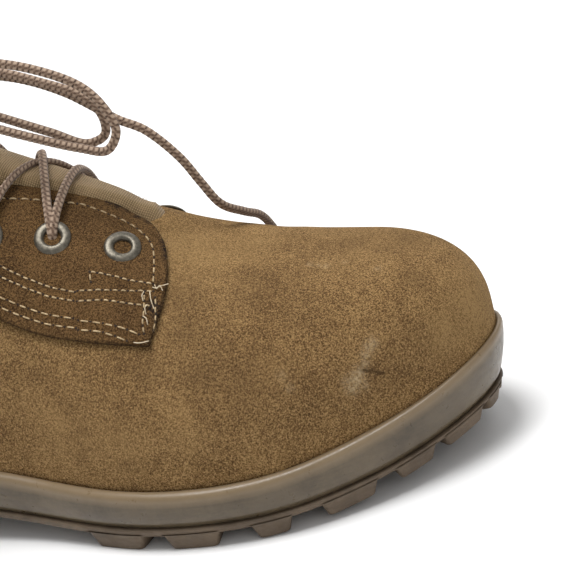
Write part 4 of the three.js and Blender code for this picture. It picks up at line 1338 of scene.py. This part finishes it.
def make_outsole():
    """The rim, its underside, the blocks round its edge and the bars between them."""
    rim = [
        (3.0, lifted("rim", 0)), (1.7, lifted("rim", 0)), (1.15, lifted("rim", 0.15)),
        (0.9, lifted("rim", 0.5)), (0.55, between("rim", "joint", 0.45)),
        (0.35, between("rim", "joint", 0.75)), (0.35, lifted("joint", -0.45)),
        (0.6, lifted("joint", -0.1)), (1.2, lifted("joint", 0.05)), (4.0, lifted("joint", 0.05)),
    ]
    parts = [ring_sweep([(*row, TOE_TUCK) for row in rim])]
    parts.append(across_sole(2.5, lifted("rim", 0), 24, down=True))
    for side in TOE_ROUND:
        turn, along = EDGES[side]
        total = along[-1]

        def mapping(loop):
            at = np.interp(loop[:, 0], along, turn)
            x = SOLE_LENGTH * (1 - np.cos(at)) / 2
            return inset_points(at, side, loop[:, 1] + tuck(x, TOE_TUCK))

        blocks = list(zip(LUGS["start"], LUGS["width"]))
        last = total - TREAD["heel_first"] - TREAD["width"]
        blocks += [(last - k * TREAD["heel_pitch"], TREAD["width"]) for k in range(TREAD["heel"])]
        outer, inner = TREAD["rim_inset"] - 0.4, TREAD["depth"]
        parts += [lug_mesh((start, start + width, outer, inner), mapping) for start, width in blocks]
    for x in BAR_PLACES:
        reach = {side: read(SOLE_PLAN, side, x) - TREAD["depth"] - BAR_GAP for side in TOE_ROUND}
        drift = read(SOLE_PLAN, "drift", x)
        low, high = drift - reach["lateral"], drift + reach["medial"]
        middle = (low + high) / 2
        for y0, y1 in ((low, middle - BAR_GAP / 2), (middle + BAR_GAP / 2, high)):
            parts.append(lug_mesh((x - BAR_LENGTH / 2, x + BAR_LENGTH / 2, y0, y1), lambda loop: loop))
    finish_piece(mesh_object("outsole", *joined(parts)), tread_rubber, "rubber", "outsole")


# ---------------------------------------------------------------- eyelets
def lathe(profile, centre, axis, sides=28):
    """A round piece from (radius, height) pairs, stood on a centre along an axis."""
    axis = axis / np.linalg.norm(axis)
    first = np.cross(axis, (0.3, 0.5, 0.8))
    first /= np.linalg.norm(first)
    second = np.cross(axis, first)
    turn = np.arange(sides) / sides * 2 * math.pi
    ring = np.cos(turn)[:, None] * first + np.sin(turn)[:, None] * second
    points = [centre + axis * h + ring * r for r, h in profile]
    return np.vstack(points), grid_faces(len(profile), sides, wrap_columns=True)


EYELET_PROFILE = [
    (2.2, -4.2), (2.25, -2.4), (2.6, -1.9), (2.75, -0.4), (2.9, 0.35), (3.25, 0.8), (3.8, 0.95),
    (4.6, 0.9), (5.3, 0.75), (5.8, 0.45), (6.05, 0.1), (6.05, -0.15), (3.4, -0.1), (3.2, -4.2),
]


def make_eyelets():
    paint = metal()
    for side, places in EYELETS.items():
        for k, (t, angle) in enumerate(places):
            front_inner = side == "medial" and k == 0
            lift = FRONT_INNER_LIFT if front_inner else EYELET_LIFT
            centre, normal = last_at(np.array([t]), np.array([angle]), lift)
            outward = np.array([0, EYELET_LEAN if side == "lateral" or front_inner else 0.0, 0])
            points, faces = lathe(EYELET_PROFILE, centre[0], normal[0] + outward)
            name = f"eyelet_{side}_{k + 1}"
            obj = mesh_object(name, points, faces)
            finish_piece(obj, paint, "eyelet", name)


# ---------------------------------------------------------------- stitching
def capsule(start, end, up, radius, sag):
    """A short thread from hole to hole, bowed up in its middle."""
    share = np.linspace(0, 1, 7)
    line = start * (1 - share[:, None]) + end * share[:, None]
    line = line + up * (sag * np.sin(math.pi * share) ** 0.6)[:, None]
    size = radius * np.clip(np.sin(math.pi * np.clip(share, 0.06, 0.94)) * 2.2, 0.45, 1)
    tangent = (end - start) / np.linalg.norm(end - start)
    side = np.cross(tangent, up)
    turn = np.arange(7) / 7 * 2 * math.pi
    ring = np.cos(turn)[:, None] * side + np.sin(turn)[:, None] * up
    points = (line[:, None, :] + ring[None] * size[:, None, None]).reshape(-1, 3)
    return points, grid_faces(7, 7, wrap_columns=True)


THREAD_RADIUS = 0.27
THREAD_SUNK = 0.25
THREAD_BOW = 0.45
# How much of a stitch's length its thread shows.
THREAD_SHARE = 0.68
# Each needle hole is a small dark disc, painted shade standing in for the hollow of the hole.
HOLE_SHADE_PROFILE = ((0.01, 0.1), (0.34, 0.08), (0.5, -0.1))


def on_surface(surface, point):
    """The nearest place on a surface, and the surface's normal there."""
    hit, normal, _, _ = surface.find_nearest(Vector(point))
    return np.array(hit), np.array(normal)


def sew(name, rows, surface, thread_paint, hole_shade_paint):
    """Stitches along rows that lie close to a surface, with a dark disc of painted shade in each needle hole.
    """
    threads, holes = [], []
    for row, step in rows:
        count = max(int(lengths(row)[-1] / step), 1)
        ways = [on_surface(surface, dot) for dot in resample(row, count + 1)]
        for (p, n), (q, _) in zip(ways, ways[1:]):
            gap = (q - p) * (1 - THREAD_SHARE) / 2
            down = rng.normal(0, 0.06, 3) - n * THREAD_SUNK
            threads.append(capsule(p + gap + down, q - gap + down, n, THREAD_RADIUS, THREAD_BOW))
        holes += [lathe(HOLE_SHADE_PROFILE, p, n, 8) for p, n in ways]
    finish_piece(mesh_object(name, *joined(threads)), thread_paint, "suede")
    finish_piece(mesh_object(name + "_holes", *joined(holes)), hole_shade_paint, "suede")


def surface_of(obj):
    """A search tree in millimetres over a piece."""
    points = [tuple(p) for p in vertex_points(obj)]
    return BVHTree.FromPolygons(points, [tuple(poly.vertices) for poly in obj.data.polygons])


def on_side(side):
    """A test for points on one side of the throat's middle."""
    if side == "lateral":
        return lambda p: p[:, 1] < THROAT_MIDDLE
    return lambda p: p[:, 1] > THROAT_MIDDLE


# Rows sewn on the outer wing, each with its stitch length: along its edges and across it.
WING_ROWS = [
    (3.6, [(176.9, -3.1, 101.8), (180.6, -2.7, 99.9), (184.3, -3.1, 97.7), (189.7, -3.5, 94.6),
           (194.5, -4.6, 91.7), (198.8, -7.5, 88.6), (201.5, -11, 86.3), (203.2, -17, 83.4),
           (204, -25, 79.1)]),
    (2.6, [(184.4, -25.6, 86.4), (191, -25.5, 84.1), (197.5, -25.6, 81.4), (204, -25, 79.1)]),
    (2.0, [(184.6, -25.8, 86.3), (185.2, -28.6, 84.1)]),
    (2.6, [(181, -31.2, 82.7), (187.6, -30.3, 81.7), (195.2, -29.2, 79.9), (204.5, -27.5, 77.6)]),
    (2.6, [(180.9, -33.7, 80.2), (189.1, -32.7, 79.1), (196.8, -32.5, 76.8), (204.4, -32.1, 74.6)]),
    (4.0, [(181.3, -37.8, 75.4), (189.5, -38.2, 73.5), (195.5, -38.8, 71.5), (201, -39.9, 68.9)]),
    (4.0, [(181.2, -39.7, 73), (189.5, -40.1, 71.3), (197.1, -41.6, 68)]),
    (2.8, [(201.8, -28.7, 77.8), (202.2, -33.7, 74), (202.1, -37.2, 71.2), (202.6, -39.6, 68.8)]),
    (2.6, [(205.4, -29.5, 76.6), (206, -34.4, 72.4), (206.5, -36.5, 70.5), (206.4, -38.6, 68.8)]),
]


def facing_rows(side, edge, back):
    """Rows of stitches on one facing: along its edges, across its wing and up the wing's end."""
    outer = side == "lateral"
    mine = on_side(side)
    reach = 181 if outer else 400
    low = lambda p: mine(p) & (p[:, 2] < COLLAR_HEIGHT - 3)
    rows = [(spline(points, 60), pitch) for pitch, points in WING_ROWS] if outer else []

    def along_edge(level, pitch, keep):
        rows.extend((line, pitch) for line in rows_at(SHAFT, edge, level, 1.9, (back,), keep))

    def along_back(level, pitch, keep):
        rows.extend((line, pitch) for line in rows_at(SHAFT, back, level, 1.9, (edge,), keep))

    behind = lambda p: p[:, 0] < reach
    wing = lambda p: mine(p) & behind(p) & (p[:, 0] > 150)
    along_edge(6.4, 3.6, lambda p, b: low(p) & (b > 24) & (p[:, 0] < reach - 4))
    along_back(4.1, 4.0, lambda p, e: low(p) & (e > 4) & behind(p))
    along_back(7.2, 4.0, lambda p, e: low(p) & (e > 8) & behind(p))
    along_back(13.5, 2.6, lambda p, e: wing(p) & (e > 5))
    along_back(17.0, 2.6, lambda p, e: wing(p) & (e > 4))
    if not outer:
        along_edge(4.2, 3.0, lambda p, b: mine(p) & (b > 4) & (b < 16) & (p[:, 0] > 185))
    return rows


SEAM_STITCH = 3.4


def make_stitches(facings, counter, backstay):
    pale = thread("thread_tan", linear(150, 128, 94), linear(196, 172, 134))
    # The needle holes' dark colour is painted shade.
    dark = thread("needle_hole_shade", linear(30, 21, 13), linear(46, 34, 22))
    for side, (facing, edge, back) in facings.items():
        sew(f"stitches_{side}", facing_rows(side, edge, back), surface_of(facing), pale, dark)
    above = lambda p: p[:, 2] > sole_height("lip", p[:, 0]) + 1
    top = REAR.side_view(COUNTER_TOP)
    lines = [line for level in (2.4, 5.2) for line in rows_at(REAR, top, level, 1.1, keep=above)]
    sew("stitches_counter", [(line, SEAM_STITCH) for line in lines], surface_of(counter), pale, dark)
    upright = lambda p: (p[:, 2] > 96) & (p[:, 2] < COLLAR_HEIGHT - COLLAR_DEPTH)
    lines = rows_at(REAR_STRIP, inside_backstay(), 2.2, 0.8, keep=upright)
    sew("stitches_backstay", [(line, SEAM_STITCH) for line in lines], surface_of(backstay), pale, dark)
    white = thread("thread_loose", linear(170, 152, 124), linear(220, 204, 176))
    make_loose_threads(surface_of(facings["lateral"][0]), white)
    make_fray(facings, thread("edge_fibre", linear(96, 74, 48), linear(170, 142, 104)))


# Loose threads at the outer wing's corner, as x, y, z and height above the facing.
LOOSE_THREADS = [
    [(204.2, -26.4, 78.5, 0.2), (205.2, -26.8, 77.8, 0.9), (206.6, -25.8, 77.8, 0.8),
     (208.8, -24.3, 77.8, 1.2)],
    [(204.6, -25.4, 78.8, 0.2), (205.6, -27, 77.6, 1.0), (206.4, -26, 77.9, 1.2),
     (207.4, -26.9, 77, 0.4)],
    [(203.4, -27.8, 77.6, 0.2), (204.2, -30.6, 75.6, 0.9), (205.3, -32.8, 73.7, 0.3)],
    [(201.6, -28.2, 78.2, 0.1), (201.3, -29.8, 77.2, 0.7), (201.7, -31.0, 76.1, 0.2)],
    [(203.1, -31.9, 75.2, 0.2), (202.6, -33.2, 74.3, 0.9), (202.9, -34.6, 73, 0.2)],
    [(202.0, -35.2, 72.8, 0.2), (203.2, -35.9, 72, 0.7), (203.7, -37.4, 70.8, 0.2)],
    [(199.4, -41.9, 67.2, 0.2), (201.5, -41.9, 66.8, 0.8), (204.6, -41.2, 66.7, 0.5)],
]


def make_loose_threads(surface, paint):
    """Threads that have pulled out at the wing's corner, and lie over it."""
    parts = []
    for route in LOOSE_THREADS:
        line = []
        for *at, lift in route:
            hit, normal = on_surface(surface, at)
            line.append(hit + normal * lift)
        parts.append(tube(spline(line, 40), 0.34, 0.34, 7)[:2])
    finish_piece(mesh_object("loose_threads", *joined(parts)), paint, "suede")


FIBRE_STEP = 0.8
FIBRE_WIDTH = 0.13


def make_fray(facings, paint):
    """Short fibres that stand out of the facings' cut edges."""
    parts = []
    for side, (_, edge, back) in facings.items():
        mine = on_side(side)
        wanted = lambda p, other: mine(p) & (other > 1) & (p[:, 2] < COLLAR_HEIGHT)
        runs = rows_at(SHAFT, edge, 0.35, 1.2, (back,), wanted)
        spread = [resample(run, int(lengths(run)[-1] / FIBRE_STEP)) for run in runs]
        for p in np.repeat(np.vstack(spread), 2, axis=0):
            way = rng.normal(0, 1, 3) + (0.4, 0.3, 0.9)
            way /= np.linalg.norm(way)
            bend = rng.normal(0, 0.35, 3)
            size = rng.uniform(0.5, 1.3)
            base = p + rng.normal(0, 0.3, 3)
            line = [base, base + way * size * 0.5 + bend * 0.3, base + way * size + bend]
            parts.append(tube(np.array(line), FIBRE_WIDTH, FIBRE_WIDTH, 3)[:2])
    finish_piece(mesh_object("edge_fibres", *joined(parts)), paint, "suede")


# ---------------------------------------------------------------- lacing
def through(places, lifts):
    """A line over the last through (t, angle) places at given lifts."""
    t, angle = np.array([p[0] for p in places]), np.array([p[1] for p in places])
    return last_at(t, angle, np.array(lifts, float), creased=False)[0]


def strand(start, end, over):
    """A length of lace up out of one eyelet, over the tongue and down into another."""
    t0, a0 = start
    t1, a1 = end
    share = [0, 0, 0.045, 0.14, 0.32, 0.5, 0.68, 0.86, 0.955, 1, 1]
    top = 5.5 + over
    lifts = [-2.6, 0.8, 3.3, 4.4, 5.0 + 0.4 * over, top, 5.0 + 0.4 * over, 4.4, 3.3, 0.8, -2.6]
    places = [(t0 + (t1 - t0) * s, a0 + (a1 - a0) * s) for s in share]
    return spline(through(places, lifts), 300)


# The laced eyelets, counted from the toe: a bar, the crossings' starts, and the last pair.
BAR_PAIR, CROSSED, LAST_PAIR = 1, (1, 2, 3), 4
KNOT_SECTION, KNOT_LIFT = 8.1, 7.0
KNOT = last_at(np.array([KNOT_SECTION]), np.array([0.0]), KNOT_LIFT, creased=False)[0][0]


def tie(side):
    """A length of lace up out of the last laced eyelet, to the knot."""
    t, angle = EYELETS[side][LAST_PAIR]
    turn = -1 if side == "lateral" else 1
    start = (t, angle)
    near = (t + (KNOT_SECTION - t) * 0.06, angle * 0.93)
    places = [start, start, near, ((t + KNOT_SECTION) / 2, angle / 2)]
    line = through(places, [-2.6, 0.8, 3.4, 6.0])
    end = KNOT + np.array([-1, turn * 5.5, -1.4])
    inner = KNOT + np.array([-0.4, turn * 1.2, -0.6])
    return spline(np.vstack([line, end, inner]), 200)


def make_lacing():
    lines = [strand(EYELETS["lateral"][BAR_PAIR], EYELETS["medial"][BAR_PAIR], 0.0)]
    for k in CROSSED:
        lines.append(strand(EYELETS["lateral"][k], EYELETS["medial"][k + 1], 1.2))
        lines.append(strand(EYELETS["medial"][k], EYELETS["lateral"][k + 1], -1.2))
    lines += [tie("lateral"), tie("medial")]
    obj = lace_piece("lace", evenly(lines))
    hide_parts("lace")


def make_knot():
    """The bow's knot: one wrap round the crossing cords, with a lump each side."""
    turn = np.linspace(-0.35, 1.25, 60) * 2 * math.pi
    wrap = np.stack([np.linspace(-2.2, 2.0, 60), 3.6 * np.cos(turn) * 0.8, 3.9 * np.sin(turn)], 1)
    pieces = [wrap + KNOT]
    for side in (-1, 1):
        arc = np.linspace(-0.4, 1.1, 40) * math.pi
        x, y, z = 2.2 * np.sin(arc) - 0.6, side * (3.4 + 2.4 * np.cos(arc)), 1.6 * np.cos(arc) + 0.4
        pieces.append(np.stack([x, y, z], 1) + KNOT)
    obj = lace_piece("lace_knot", evenly(pieces))
    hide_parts("lace_knot")


# ---------------------------------------------------------------- assembly
make_vamp()
make_quarters()
facings = {side: make_eyestay(side) for side in TOE_ROUND}
counter, backstay = make_counter()
make_collar()
make_tongue()
make_bindings()
make_midsole()
make_outsole()
make_eyelets()
make_stitches(facings, counter, backstay)
make_lacing()
make_knot()
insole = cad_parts["insole"]
insole.data.materials.clear()
insole.data.materials.append(plain_suede)
